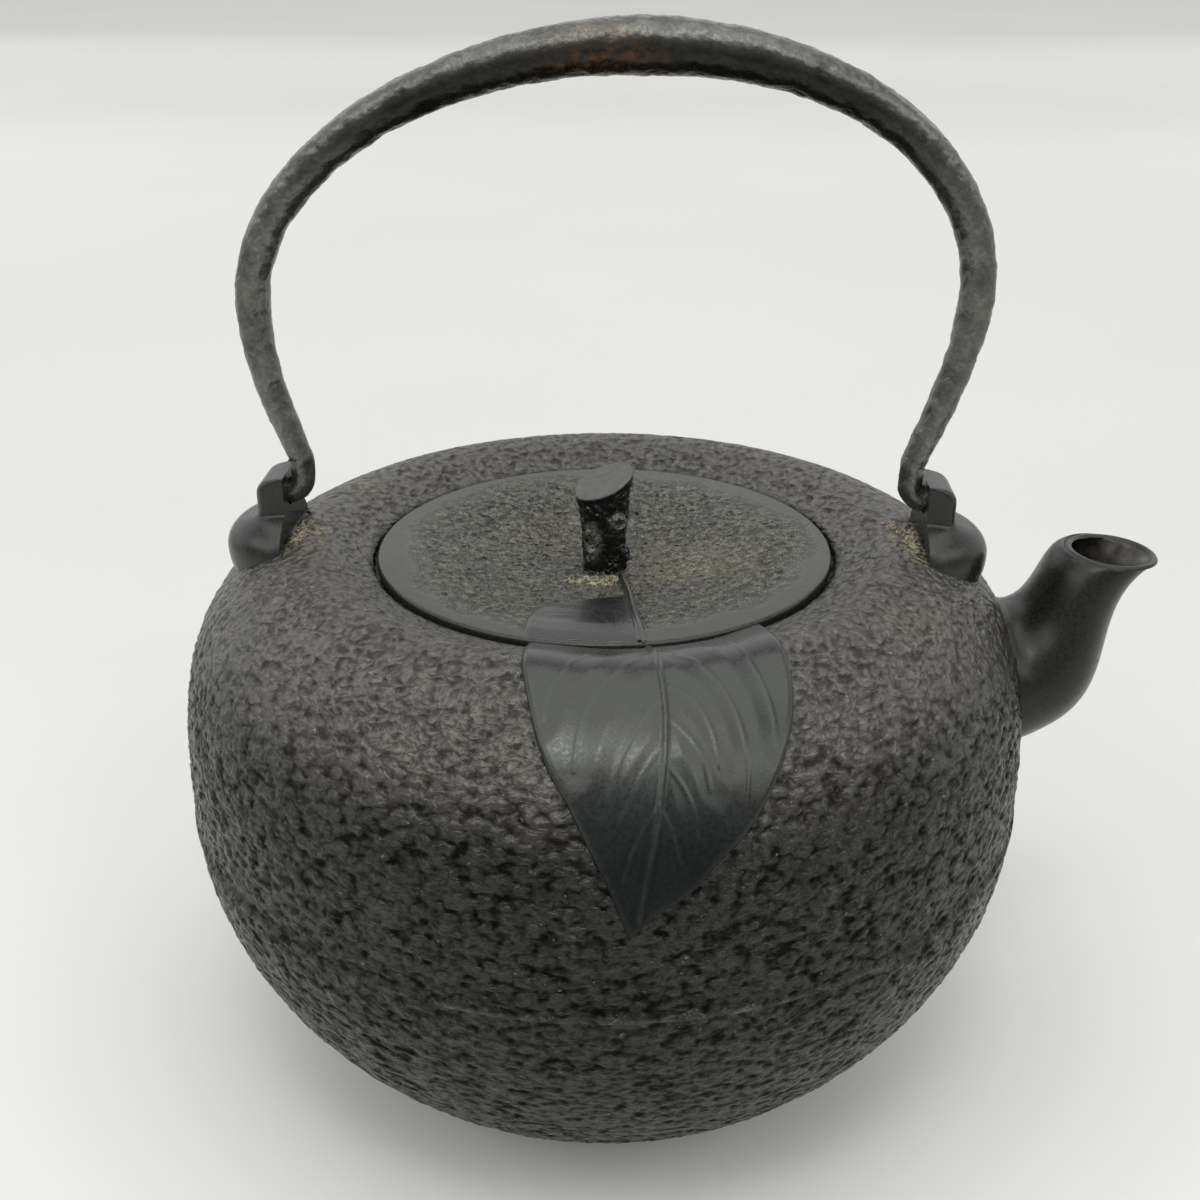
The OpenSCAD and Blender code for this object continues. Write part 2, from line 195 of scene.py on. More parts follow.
b = {
    "bellyRadius": 85.0, "bellyHeight": 63.0, "crownHeight": 57.4,
    "upperPower": 3.63, "lowerPower": 1.85, "baseRadius": 43.0, "wall": 3.2,
    "mouthRadius": 45.9, "rollWidth": 16.1, "rollSlope": 23.0, "mouthDrop": 9.4,
    "seatDepth": 1.6, "seatWidth": 5.9,
    "ringCount": 640, "innerCount": 160, "upperRows": 136, "lowerRows": 132,
}
mouthHeight = b["crownHeight"] - b["mouthDrop"]
joinRadius = b["mouthRadius"] + b["rollWidth"]
baseShare = b["baseRadius"] / b["bellyRadius"]
lowerHeight = b["bellyHeight"] / (1 - baseShare ** b["lowerPower"]) ** (1 / b["lowerPower"])


def crownZ(r):
    share = np.clip(np.asarray(r, float) / b["bellyRadius"], 0, 1)
    return b["crownHeight"] * (1 - share ** b["upperPower"]) ** (1 / b["upperPower"])


def crownSlope(r):
    share = r / b["bellyRadius"]
    power = b["upperPower"]
    fall = -b["crownHeight"] / b["bellyRadius"]
    return fall * share ** (power - 1) * (1 - share ** power) ** (1 / power - 1)


def crownR(z):
    share = np.clip(np.abs(np.asarray(z, float)) / b["crownHeight"], 0, 1)
    return b["bellyRadius"] * (1 - share ** b["upperPower"]) ** (1 / b["upperPower"])


def shoulderZ(r):
    # height of the outer surface above the belly line, from the mouth outward
    r = np.asarray(r, float)
    t = np.clip((r - b["mouthRadius"]) / b["rollWidth"], 0, 1)
    roll = ((2 * t ** 3 - 3 * t ** 2 + 1) * mouthHeight
            + (t ** 3 - 2 * t ** 2 + t) * b["rollWidth"] * math.tan(math.radians(b["rollSlope"]))
            + (3 * t ** 2 - 2 * t ** 3) * crownZ(joinRadius)
            + (t ** 3 - t ** 2) * b["rollWidth"] * crownSlope(joinRadius))
    return np.where(r < joinRadius, roll, crownZ(r))


def shoulderLine(rows):
    angle = np.linspace(0, math.acos((joinRadius / b["bellyRadius"]) ** (b["upperPower"] / 2)), 400)
    crown = np.stack([b["bellyRadius"] * np.cos(angle) ** (2 / b["upperPower"]),
                      b["crownHeight"] * np.sin(angle) ** (2 / b["upperPower"])], 1)
    radii = np.linspace(joinRadius, b["mouthRadius"], 200)[1:]
    line = np.vstack([crown, np.stack([radii, shoulderZ(radii)], 1)])
    return lineAt(line, np.linspace(0, 1, rows)) + [0, b["bellyHeight"]]


def panLine(rows, inset=0.0):
    radius, height = b["bellyRadius"] - inset, lowerHeight - inset
    angle = np.linspace(0, math.asin(((b["bellyHeight"] - inset) / height) ** (b["lowerPower"] / 2)), 400)
    line = np.stack([radius * np.cos(angle) ** (2 / b["lowerPower"]),
                     b["bellyHeight"] - height * np.sin(angle) ** (2 / b["lowerPower"])], 1)
    return lineAt(line, np.linspace(0, 1, rows))


# what the materials and the modelled surfaces are made from

def mathOf(operation, *values, clamp=False):
    near = next(value for value in values if isinstance(value, bpy.types.NodeSocket))
    node = addNode(near, "ShaderNodeMath", dict(enumerate(values)), operation=operation, use_clamp=clamp)
    return node.outputs[0]


def times(first, second, clamp=False):
    return mathOf("MULTIPLY", first, second, clamp=clamp)


def timesPlus(first, second, third, clamp=False):
    return mathOf("MULTIPLY_ADD", first, second, third, clamp=clamp)


def vectorOf(operation, *values):
    return addNode(values[0], "ShaderNodeVectorMath", dict(enumerate(values)), operation=operation).outputs[0]


def scaled(vector, factor):
    return addNode(vector, "ShaderNodeVectorMath", {0: vector, "Scale": factor}, operation="SCALE").outputs[0]


def lengthOf(vector):
    return addNode(vector, "ShaderNodeVectorMath", {0: vector}, operation="LENGTH").outputs["Value"]


def axisOf(vector, axis):
    return addNode(vector, "ShaderNodeSeparateXYZ", {0: vector}).outputs[axis]


def rangeOf(value, fromMin=0.0, fromMax=1.0, toMin=0.0, toMax=1.0, kind="LINEAR"):
    return addNode(value, "ShaderNodeMapRange", {
        "Value": value, "From Min": fromMin, "From Max": fromMax, "To Min": toMin, "To Max": toMax},
        interpolation_type=kind).outputs[0]


def rawNoise(vector, scale, detail, roughness=0.5, distortion=0.0):
    return addNode(vector, "ShaderNodeTexNoise", {
        "Vector": vector, "Scale": scale, "Detail": detail, "Roughness": roughness,
        "Distortion": distortion}).outputs[0]


def noiseFactor(place, size, detail=3.0, roughness=0.55, low=0.0, high=1.0):
    # size is the real size of one wave in millimetres
    return rangeOf(rawNoise(place, 1 / (size * mm), detail, roughness), low, high)


def rampOf(factor, *stops):
    ramp = addNode(factor, "ShaderNodeValToRGB", {0: factor})
    elements = ramp.color_ramp.elements
    while len(elements) < len(stops):
        elements.new(0.5)
    for element, (position, code) in zip(elements, stops):
        element.position = position
        element.color = hexToLinear(code)
    return ramp.outputs[0]


def mixColour(factor, first, second):
    second = hexToLinear(second) if isinstance(second, str) else second
    return addNode(first, "ShaderNodeMix", {0: factor, 6: first, 7: second}, data_type="RGBA").outputs[2]


def attributeOf(near, name):
    return addNode(near, "ShaderNodeAttribute", attribute_name=name).outputs["Fac"]


def heightMask(place, low, high):
    # 0 below low, 1 above high, both in millimetres above the base
    return rangeOf(axisOf(place, 2), low * mm, high * mm, kind="SMOOTHSTEP")


def spotMask(place, centre, size, edge):
    # 1 at the centre and 0 past an ellipsoid; centre and half sizes are in millimetres
    moved = addNode(place, "ShaderNodeMapping", {
        "Vector": place, "Location": [c * mm for c in centre], "Scale": [s * mm for s in size]},
        vector_type="TEXTURE").outputs[0]
    return rangeOf(lengthOf(moved), edge, 1.0, 1.0, 0.0, kind="SMOOTHSTEP")


def bumpOf(height, distance, strength, before=None):
    # distance is in millimetres
    feed = {"Height": height, "Distance": distance * mm, "Strength": strength}
    if before is not None:
        feed["Normal"] = before
    return addNode(height, "ShaderNodeBump", feed).outputs[0]


def inMillimetres(place):
    return scaled(place, 1 / mm)


def warped(millimetres, scale, detail, reach):
    # pushes the space about by up to half of reach
    noise = addNode(millimetres, "ShaderNodeTexNoise", {
        "Vector": millimetres, "Scale": scale, "Detail": detail})
    centred = vectorOf("SUBTRACT", noise.outputs["Color"], (0.5, 0.5, 0.5))
    return vectorOf("ADD", millimetres, scaled(centred, reach))


# sizes and heights in millimetres; lumps are fineSize across above fineAbove
rockShape = {"size": 2.8, "fineSize": 1.7, "stretch": 1.6, "warp": 2.4, "fineFrom": 102.0, "fineAbove": 112.0,
             "lump": 0.38, "ripple": 0.74, "wide": 0.3}
pitSize = 1.3


def rockHeight(millimetres):
    # rounded lumps with creases between them, from 0 in a crease to 1, and finer toward the top;
    # the geometry and the material both read it, so that fine creases sit on the modelled ones
    r = rockShape
    bent = warped(vectorOf("MULTIPLY", millimetres, (1, 1, r["stretch"])), 0.3, 1.0, r["warp"])
    lumps = []
    for size in (r["size"], r["fineSize"]):
        cells = addNode(bent, "ShaderNodeTexVoronoi", {"Vector": bent, "Scale": 1 / size, "Smoothness": 0.22},
                        feature="SMOOTH_F1")
        square = mathOf("POWER", times(cells.outputs["Distance"], 1.3), 2.0)
        lumps.append(mathOf("SUBTRACT", 1.0, square, clamp=True))
    lump = rangeOf(rangeOf(axisOf(millimetres, 2), r["fineFrom"], r["fineAbove"]), 0, 1, *lumps)
    both = timesPlus(rawNoise(bent, 0.62, 2.0, 0.45), r["ripple"], times(lump, r["lump"]))
    wide = rawNoise(millimetres, 0.13, 1.0)
    return mathOf("ADD", both, timesPlus(wide, r["wide"], -r["wide"] / 2), clamp=True)


def pitHeight(millimetres):
    # sand-cast pits, 0 at the bottom of a pit and 1 on the skin between them
    bent = warped(millimetres, 0.8, 2.0, 3.2)
    cells = addNode(bent, "ShaderNodeTexVoronoi", {"Vector": bent, "Scale": 1 / pitSize}, feature="F1")
    reach = rangeOf(axisOf(cells.outputs["Color"], 0), 0.35, 1.0, 0.06, 0.5)
    hole = rangeOf(cells.outputs["Distance"], times(reach, 0.35), reach)
    rough = timesPlus(rawNoise(bent, 0.7, 3.0, 0.6), 1.3, -0.3)
    return timesPlus(hole, 0.35, rough, clamp=True)


# materials

def startMaterial(name):
    material = bpy.data.materials.new(name)
    material.use_nodes = True
    tree = material.node_tree
    tree.nodes.clear()
    output = addNode(tree, "ShaderNodeOutputMaterial")
    shader = addNode(tree, "ShaderNodeBsdfPrincipled")
    plug(output, {0: shader.outputs[0]})
    return material, shader, addNode(tree, "ShaderNodeTexCoord").outputs["Object"]


def addScale(place, colour, spots):
    # earth-coloured scale that boiled water leaves where it dries; spots are (centre, half sizes, strength)
    grain = noiseFactor(place, 1.3, detail=5, roughness=0.7, low=0.44, high=0.62)
    tone = rampOf(noiseFactor(place, 0.6, detail=4, low=0.3, high=0.7),
                  (0.0, "#3a3424"), (0.45, "#7d6f4c"), (0.75, "#a39670"), (1.0, "#c3ba98"))
    for centre, size, strength in spots:
        factor = times(times(spotMask(place, centre, size, 0.25), grain), strength, clamp=True)
        colour = mixColour(factor, colour, tone)
    return colour


# Grey iron, sand cast, then baked with lacquer and tea: nearly black, with a soft gloss that catches the
# light on every lump and leaves the creases dark, and with painted shade that darkens the creases' colour as
# well
def castSkinMaterial():
    material, shader, place = startMaterial("castSkin")
    relief = rockHeight(inMillimetres(place))
    # painted shade: the colour darkens from the lumps down into the creases
    colour = rampOf(relief, (0.15, "#030303"), (0.45, "#070707"), (0.8, "#0e0f0e"), (1.0, "#171716"))
    patch = noiseFactor(place, 34, detail=2, low=0.4, high=0.65)
    colour = mixColour(times(patch, 0.3), colour, "#161411")
    # the colour grows lighter toward the top, most on the lumps
    upper = heightMask(place, 84, 112)
    colour = mixColour(times(upper, timesPlus(relief, 0.6, 0.3)), colour, "#322f2a")
    fine = noiseFactor(place, 0.5, detail=4, roughness=0.65, low=0.45, high=0.7)
    colour = mixColour(times(fine, 0.1), colour, "#3e3e3a")
    # pale flecks, most toward the top: wear, with painted glints on the lumps
    worn = noiseFactor(place, 1.3, detail=5, roughness=0.65, low=0.56, high=0.7)
    colour = mixColour(times(worn, timesPlus(upper, 0.35, 0.12)), colour, "#6f6c64")
    speck = noiseFactor(place, 1.1, detail=1, low=0.75, high=0.78)
    colour = mixColour(times(speck, 0.45), colour, "#8b8a82")
    bare = noiseFactor(place, 5, detail=3, low=0.35, high=0.65)
    colour = mixColour(times(attributeOf(place, "seam"), bare), colour, "#484843")
    colour = addScale(place, colour, [
        ((-59, -4, 111), (7, 13, 9), 0.95), ((60, -4, 111), (8, 15, 9), 0.9),
        ((57, -34, 112), (11, 12, 8), 0.1), ((-52, 22, 113), (9, 12, 8), 0.12)])
    # painted shadow: a dark line round the mouth's edge, where the gap under the lid lies in shade; it takes
    # the gloss away there too
    lip = attributeOf(place, "lip")
    colour = mixColour(times(lip, 0.9), colour, "#060606")
    # dust in the creases takes their gloss away, and so does the fire, near the pan
    dull = timesPlus(heightMask(place, 96, 110), 0.3, 0.1)
    gloss = rangeOf(relief, 0.33, 0.62, dull, 1.0)
    burnt = rangeOf(heightMask(place, 92, 107), toMin=0.38)
    crease = noiseFactor(place, 1.3, detail=5, roughness=0.65, low=0.36, high=0.5)
    gloss = times(gloss, times(burnt, timesPlus(crease, 0.6, 0.55)))
    crown = heightMask(place, 98, 110)
    grit = bumpOf(noiseFactor(place, 1.3, detail=5, roughness=0.65), 0.42, timesPlus(crown, 0.4, 0.6))
    plug(shader, {"Base Color": colour, "Specular Tint": hexToLinear("#fffdf4"),
                  "Roughness": timesPlus(upper, 0.1, rangeOf(relief, 0.2, 1.0, 0.38, 0.18)),
                  "Specular IOR Level": times(gloss, timesPlus(lip, -0.8, 1.0)),
                  "Normal": bumpOf(relief, 1.5, rangeOf(crown, toMin=0.75, toMax=0.95), grit)})
    return material


# The same lacquered iron, burnished smooth where the relief and fittings were finished by hand:
# a dark even sheen, with thin lines of painted shade in the hollows, and grey worn iron with painted
# highlight on the ridges
def smoothSkin(name, tone, dark, worn, gloss, matt=None):
    material, shader, place = startMaterial(name)
    colour = rampOf(noiseFactor(place, 16, detail=3, low=0.35, high=0.65), (0.0, dark), (1.0, tone))
    fine = noiseFactor(place, 0.7, detail=4, roughness=0.65, low=0.35, high=0.68)
    colour = mixColour(times(fine, 0.25), colour, worn)
    # painted shade darkens the hollows, and wear with a painted highlight lightens the ridges
    colour = mixColour(times(attributeOf(place, "hollow"), 0.85, clamp=True), colour, "#0b0b0a")
    colour = mixColour(times(attributeOf(place, "ridgeWearAndHighlight"), 0.28, clamp=True), colour, "#4d504c")
    bump = bumpOf(noiseFactor(place, 0.5, detail=5, roughness=0.7), 0.04, 0.7)
    if matt:
        # baked dull toward the fire, between two heights in millimetres
        gloss = rangeOf(heightMask(place, *matt), toMin=gloss * 0.12, toMax=gloss)
    plug(shader, {"Base Color": colour, "Specular Tint": hexToLinear("#fcfff9"), "Specular IOR Level": gloss,
                  "Roughness": rangeOf(fine, toMin=0.22, toMax=0.39),
                  "Normal": bumpOf(noiseFactor(place, 6, detail=2), 0.25, 0.4, bump)})
    return material, shader, place, colour


# The spout's burnished iron: finely pitted near the upper root, and inside it brown and dry
# with rust, where the gloss of the outer skin ends
def spoutMaterial():
    material, shader, place, colour = smoothSkin("burnishedSpout", "#181917", "#101110", "#3c3d39", 0.3)
    pits = times(noiseFactor(place, 0.9, detail=4, roughness=0.7, low=0.5, high=0.62),
                 spotMask(place, (88, -6, 96), (16, 18, 16), 0.3))
    colour = mixColour(times(pits, 0.6), colour, "#1d1c1a")
    rust = rampOf(noiseFactor(place, 3, detail=4, low=0.35, high=0.7), (0.0, "#1e1b18"), (1.0, "#4a4640"))
    plug(shader, {"Base Color": mixColour(attributeOf(place, "inside"), colour, rust)})
    return material


# The lid's iron: a burnished rim that shines evenly, round a dish whose sand-cast pits are darkened to black
# at the bottom with painted shade, with tan dust and scale on the skin between them
def lidMaterial():
    rimGloss = 0.42
    material, shader, place, colour = smoothSkin("burnishedLid", "#282b26", "#1f211e", "#494a44", rimGloss)
    pitted = attributeOf(place, "pitted")
    pits = pitHeight(inMillimetres(place))
    # painted shade: the pits darken to black toward their bottoms; the tan on the skin between them is dust
    # and scale
    grain = rampOf(pits, (0.1, "#060606"), (0.35, "#1a1a18"), (0.65, "#36352f"), (0.9, "#6f6b5f"))
    colour = addScale(place, mixColour(pitted, colour, grain), [
        ((12, 2, 108), (16, 16, 6), 0.6), ((26, -2, 108), (15, 16, 6), 0.4),
        ((-12, 12, 108), (13, 13, 6), 0.3), ((-1, -8.5, 107.5), (8, 4.5, 5), 1.4)])
    skin = bumpOf(noiseFactor(place, 0.6, detail=4), 0.05, 0.6)
    shade = rangeOf(pits, 0.2, 0.8, 0.03, 0.85)
    plug(shader, {"Base Color": colour, "Normal": bumpOf(pits, 2.0, pitted, skin),
                  "Specular IOR Level": rangeOf(pitted, toMin=rimGloss, toMax=shade)})
    return material


# Wrought bar: fire scale left by the forge, lighter on the high spots and darkened with painted shade in each
# hammer dish, with thin rust
def forgedMaterial():
    material, shader, place = startMaterial("forgedBar")
    # painted shade: each hammer dish darkens toward its deepest part
    colour = rampOf(attributeOf(place, "hollow"), (0.0, "#797a75"), (0.4, "#686864"), (1.0, "#4b4b48"))
    fine = noiseFactor(place, 0.8, detail=5, roughness=0.7, low=0.35, high=0.68)
    colour = mixColour(times(fine, 0.4), colour, "#33312e")
    # painted shade darkens the grip, most of all away from its outer side, so that only its top stays light
    gripUndersideShade = timesPlus(attributeOf(place, "outer"), -0.66, 0.86)
    colour = mixColour(times(heightMask(place, 170, 198), gripUndersideShade), colour, "#0b0b0b")
    dark = noiseFactor(place, 2.4, detail=3, low=0.6, high=0.7)
    colour = mixColour(times(dark, 0.4), colour, "#191817")
    rust = times(spotMask(place, (0, -5, 204), (16, 9, 8), 0.2),
                 noiseFactor(place, 1.6, detail=5, roughness=0.75, low=0.45, high=0.6))
    colour = mixColour(times(rust, 0.7), colour, "#5a4028")
    grit = bumpOf(noiseFactor(place, 0.5, detail=5, roughness=0.7), 0.12, 0.6)
    plug(shader, {"Base Color": colour, "Metallic": 0.85, "Roughness": rangeOf(fine, toMin=0.2, toMax=0.36),
                  "Normal": bumpOf(noiseFactor(place, 2.2, detail=2), 0.3, 0.5, grit)})
    return material


# Cast twig under thick black lacquer: wet-looking sides, and a cut end rubbed back to grey
def knobMaterial():
    material, shader, place = startMaterial("lacqueredTwig")
    cut = attributeOf(place, "cut")
    bark = rampOf(noiseFactor(place, 1.2, detail=5, roughness=0.7, low=0.45, high=0.72),
                  (0.0, "#070707"), (0.7, "#0d0d0d"), (1.0, "#2c2b28"))
    rubbed = times(attributeOf(place, "knot"), noiseFactor(place, 0.7, detail=4, low=0.36, high=0.52))
    bark = mixColour(rubbed, bark, "#74736b")
    face = rampOf(noiseFactor(place, 1.5, detail=3, low=0.3, high=0.7), (0.0, "#3f403d"), (1.0, "#52534f"))
    wet = timesPlus(cut, -0.8, 1.0)
    plug(shader, {"Base Color": mixColour(cut, bark, face), "Roughness": rangeOf(cut, toMin=0.14, toMax=0.45),
                  "Normal": bumpOf(noiseFactor(place, 1.6, detail=3, roughness=0.6), 0.7, wet)})
    return material


# Lime and iron salts dried on the iron: dead matt grains, pale tan against the black
def scaleMaterial():
    material, shader, place = startMaterial("waterScale")
    tone = rampOf(noiseFactor(place, 1.0, detail=5, roughness=0.7, low=0.3, high=0.7),
                  (0.0, "#4d4638"), (0.4, "#7e7660"), (0.7, "#a09983"), (1.0, "#bcb7a3"))
    plug(shader, {"Base Color": tone, "Roughness": rangeOf(noiseFactor(place, 2.0), toMin=0.7, toMax=0.95),
                  "Normal": bumpOf(noiseFactor(place, 0.4, detail=4), 0.15, 0.8)})
    return material


# Plain iron washer in the steam under the lid: dull grey metal with brown rust
def washerMaterial():
    material, shader, place = startMaterial("dullIronWasher")
    colour = rampOf(noiseFactor(place, 1.4, detail=5, roughness=0.7, low=0.35, high=0.65),
                    (0.0, "#3b2f25"), (1.0, "#6a625a"))
    plug(shader, {"Base Color": colour, "Metallic": 0.6, "Roughness": 0.55,
                  "Normal": bumpOf(noiseFactor(place, 0.5, detail=4), 0.08, 0.6)})
    return material


castSkin = castSkinMaterial()
# the leaf has a green-black patina, and its lower half is dull from the fire
leafSkin = smoothSkin("burnishedRelief", "#181b1a", "#101211", "#333735", 0.62, matt=(91, 106))[0]
# the ears are rubbed by the handle's hooks and keep a low sheen
earSkin = smoothSkin("burnishedEar", "#1b1c1b", "#121312", "#3b3c38", 0.45)[0]
spoutSkin = spoutMaterial()
lidSkin = lidMaterial()
forgedBar = forgedMaterial()
lacqueredTwig = knobMaterial()
dullIron = washerMaterial()
waterScale = scaleMaterial()
print("materials ready")


# Geometry Nodes trees that work a surface from outside

def newTree(name, sockets):
    tree = bpy.data.node_groups.new(name, "GeometryNodeTree")
    tree.interface.new_socket("Geometry", in_out="INPUT", socket_type="NodeSocketGeometry")
    tree.interface.new_socket("Geometry", in_out="OUTPUT", socket_type="NodeSocketGeometry")
    for socketName, kind, value in sockets + [("Material", "Material", None)]:
        made = tree.interface.new_socket(socketName, in_out="INPUT", socket_type="NodeSocket" + kind)
        if value is not None:
            made.default_value = value
    place = addNode(tree, "GeometryNodeInputPosition").outputs[0]
    return tree, addNode(tree, "NodeGroupInput").outputs, place


def named(near, name, kind="FLOAT"):
    return addNode(near, "GeometryNodeInputNamedAttribute", {"Name": name}, data_type=kind).outputs[0]


def sunk(geometry, amount):
    # moves the surface inward along its normal by amount, in metres
    offset = scaled(addNode(geometry, "GeometryNodeInputNormal").outputs[0], times(amount, -1.0))
    return addNode(geometry, "GeometryNodeSetPosition", {"Geometry": geometry, "Offset": offset}).outputs[0]


def finishTree(tree, geometry, given):
    real = addNode(tree, "GeometryNodeRealizeInstances", {"Geometry": geometry}).outputs[0]
    done = addNode(tree, "GeometryNodeSetMaterial", {"Geometry": real, "Material": given["Material"]})
    addNode(tree, "NodeGroupOutput", {"Geometry": done.outputs[0]})
    return tree


def rockSkinTree():
    # sinks the creases of the cast skin below its lumps, along the piece's own outward direction
    tree, given, place = newTree("rockSkin", [("Depth", "Float", 0.6), ("Seam Depth", "Float", 0.3)])
    pit = mathOf("SUBTRACT", 1.0, rockHeight(inMillimetres(place)), clamp=True)
    depth = times(times(pit, named(tree, "skin")), given["Depth"])
    # the fin of metal left at the mould's joint stands up to the full surface
    keep = mathOf("SUBTRACT", 1.0, times(named(tree, "seam"), 0.85))
    below = times(named(tree, "band"), given["Seam Depth"])
    total = times(mathOf("ADD", depth, below), times(keep, -mm))
    offset = scaled(named(tree, "away", "FLOAT_VECTOR"), total)
    moved = addNode(tree, "GeometryNodeSetPosition", {"Geometry": given["Geometry"], "Offset": offset})
    return finishTree(tree, moved.outputs[0], given)


def pittedSkinTree():
    # fine sand-cast pits, only where the "pitted" attribute says so
    tree, given, place = newTree("pittedSkin", [("Depth", "Float", 0.22)])
    low = mathOf("SUBTRACT", 1.0, pitHeight(inMillimetres(place)), clamp=True)
    amount = times(low, named(tree, "pitted"))
    return finishTree(tree, sunk(given["Geometry"], times(amount, times(given["Depth"], mm))), given)


def hammerTree():
    # every blow of the hammer leaves a shallow dish, with a blunt edge between two blows
    tree, given, place = newTree("hammerMarks", [
        ("Blow Size", "Float", 5.5), ("Depth", "Float", 0.55), ("Seed", "Float", 0.0)])
    millimetres = inMillimetres(place)
    blows = addNode(tree, "ShaderNodeTexVoronoi", {
        "Vector": millimetres, "W": given["Seed"], "Scale": mathOf("DIVIDE", 1.0, given["Blow Size"])},
        feature="F1", voronoi_dimensions="4D")
    dish = mathOf("POWER", rangeOf(blows.outputs["Distance"], 0.0, 0.75, 1.0, 0.0), 1.4)
    rough = rangeOf(rawNoise(millimetres, 0.42, 4.0, 0.6), 0.35, 0.7)
    amount = times(timesPlus(rough, 0.45, times(dish, 0.7)), named(tree, "skin"))
    # the dish's depth is kept for the painted shade in the material
    stored = addNode(tree, "GeometryNodeStoreNamedAttribute", {
        "Geometry": given["Geometry"], "Name": "hollow", "Value": amount}, data_type="FLOAT", domain="POINT")
    return finishTree(tree, sunk(stored.outputs[0], times(amount, times(given["Depth"], mm))), given)


rockSkin = rockSkinTree()
pittedSkin = pittedSkinTree()
hammerMarks = hammerTree()
print("trees ready")


# the body, in two castings that meet at the mould seam

skinValues = {"depth": 1.15, "seamDepth": 0.28, "seamWidth": 0.4, "bandWidth": 3.5, "lipWidth": 0.7,
              "mouthFade": 3.0, "shoulderShare": 0.35, "panShare": 0.85, "sharpAngle": 75}


def shiftIn(line, amount):
    step = stepsAlong(line)
    return line + amount * np.stack([-step[:, 1], step[:, 0]], 1)


def storeSkin(piece, skin):
    # skin is how deep the cast texture goes at each point; the rest is taken from the height
    co = pointsOf(piece)
    radius = np.maximum(np.hypot(co[:, 0], co[:, 1]), 1e-6)
    line = np.vstack([panLine(300)[::-1], shoulderLine(300)[1:]])
    step = stepsAlong(line)
    distance = np.abs(co[:, None, 2] - line[None, ::6, 1]) + np.abs(radius[:, None] - line[None, ::6, 0])
    nearest = step[np.argmin(distance, axis=1) * 6]
    away = np.stack([nearest[:, 1] * co[:, 0] / radius, nearest[:, 1] * co[:, 1] / radius, -nearest[:, 0]], 1)
    layer = piece.data.attributes.new("away", "FLOAT_VECTOR", "POINT")
    layer.data.foreach_set("vector", away.astype(np.float32).ravel())
    storeValues(piece, "skin", skin)
    fromSeam = co[:, 2] - b["bellyHeight"]
    storeValues(piece, "seam", hump(fromSeam, 0, skinValues["seamWidth"]) * (skin > 0))
    storeValues(piece, "band", hump(fromSeam, 0, skinValues["bandWidth"]) * (skin > 0))
    # lip marks the band of painted shadow round the mouth's edge
    storeValues(piece, "lip", hump(radius, b["mouthRadius"], skinValues["lipWidth"]) * (co[:, 2] > 100))


def makeShoulder():
    count, inner = b["ringCount"], b["innerCount"]
    outer = shoulderLine(b["upperRows"])
    inside = shiftIn(shoulderLine(28), b["wall"])
    inside = inside[inside[:, 0] > b["mouthRadius"] + b["wall"]]
    inside[0] = (b["bellyRadius"] - b["wall"], b["bellyHeight"])
    mouth = b["mouthRadius"]
    seatZ = b["bellyHeight"] + mouthHeight - b["seatDepth"]
    neck = mouth - b["seatWidth"]
    rings = [(r, z, count) for r, z in outer]
    # the lip's sharp edge is held by a second ring just below it
    rings += [(mouth - 0.12, outer[-1][1] - 0.14, count), (mouth - 0.15, seatZ + 0.3, inner),
              (mouth - 0.5, seatZ, inner), (neck + 0.4, seatZ, inner), (neck, seatZ - 0.4, inner),
              (neck, seatZ - b["wall"] + 0.5, inner), (neck + 0.5, seatZ - b["wall"], inner)]
    rings += [(r, z, inner) for r, z in inside[::-1]]
    piece = outward(spinRings("kettleShoulder", rings, True))
    co = pointsOf(piece)
    fade = np.clip((np.hypot(co[:, 0], co[:, 1]) - mouth) / skinValues["mouthFade"], 0, 1)
    flank = np.clip((b["bellyHeight"] + 48 - co[:, 2]) / 16, 0, 1)
    share = skinValues["shoulderShare"]
    storeSkin(piece, fade * (share + (1 - share) * flank) * (np.arange(len(co)) < count * len(outer)))
    return piece


def makePan():
    count, inner = b["ringCount"], b["innerCount"]
    inside = panLine(24, b["wall"])
    rings = [(0, b["wall"], 1), (20, b["wall"], inner)] + [(r, z, inner) for r, z in inside][::-1]
    rings += [(r, z, count) for r, z in panLine(b["lowerRows"])]
    rings += [(b["baseRadius"] - 4, 0.0, inner), (20, 0.0, inner), (0, 0.0, 1)]
    piece = outward(spinRings("kettlePan", rings, False))
    co = pointsOf(piece)
    first = 1 + inner * (1 + len(inside))
    index = np.arange(len(co))
    isOuter = (index >= first) & (index < first + count * b["lowerRows"])
    storeSkin(piece, np.where(isOuter, np.clip(co[:, 2] / 4, 0, 1) * skinValues["panShare"], 0.0))
    return piece


def castSurface(piece):
    applyTree(piece, rockSkin, {"Depth": skinValues["depth"], "Seam Depth": skinValues["seamDepth"],
                                "Material": castSkin})
    piece.data.set_sharp_from_angle(angle=math.radians(skinValues["sharpAngle"]))
    return piece


finishPiece(castSurface(makeShoulder()), castSkin, "kettle", ["shoulder_shell"])
finishPiece(castSurface(makePan()), castSkin, "kettle", ["base_pan"])


# the spout

spoutShape = {"rootLow": 9.9, "rootHigh": 36.5, "rootWidth": 33.4, "reach": 24.0, "tip": 48.8, "rise": 1.1,
              "lipLength": 18.1, "lipWidth": 17.9, "rootWall": 2.6, "lipWall": 1.7, "backBulge": 1.7,
              "heelRise": 8.8, "tuck": 15.9, "tuckDrop": 11.1, "sunk": 1.4, "rows": 56, "around": 120}


def bezierPoint(controls, t):
    controls = np.asarray(controls, float)
    t = np.asarray(t, float)[..., None]
    return ((1 - t) ** 3 * controls[0] + 3 * t * (1 - t) ** 2 * controls[1]
            + 3 * t ** 2 * (1 - t) * controls[2] + t ** 3 * controls[3])


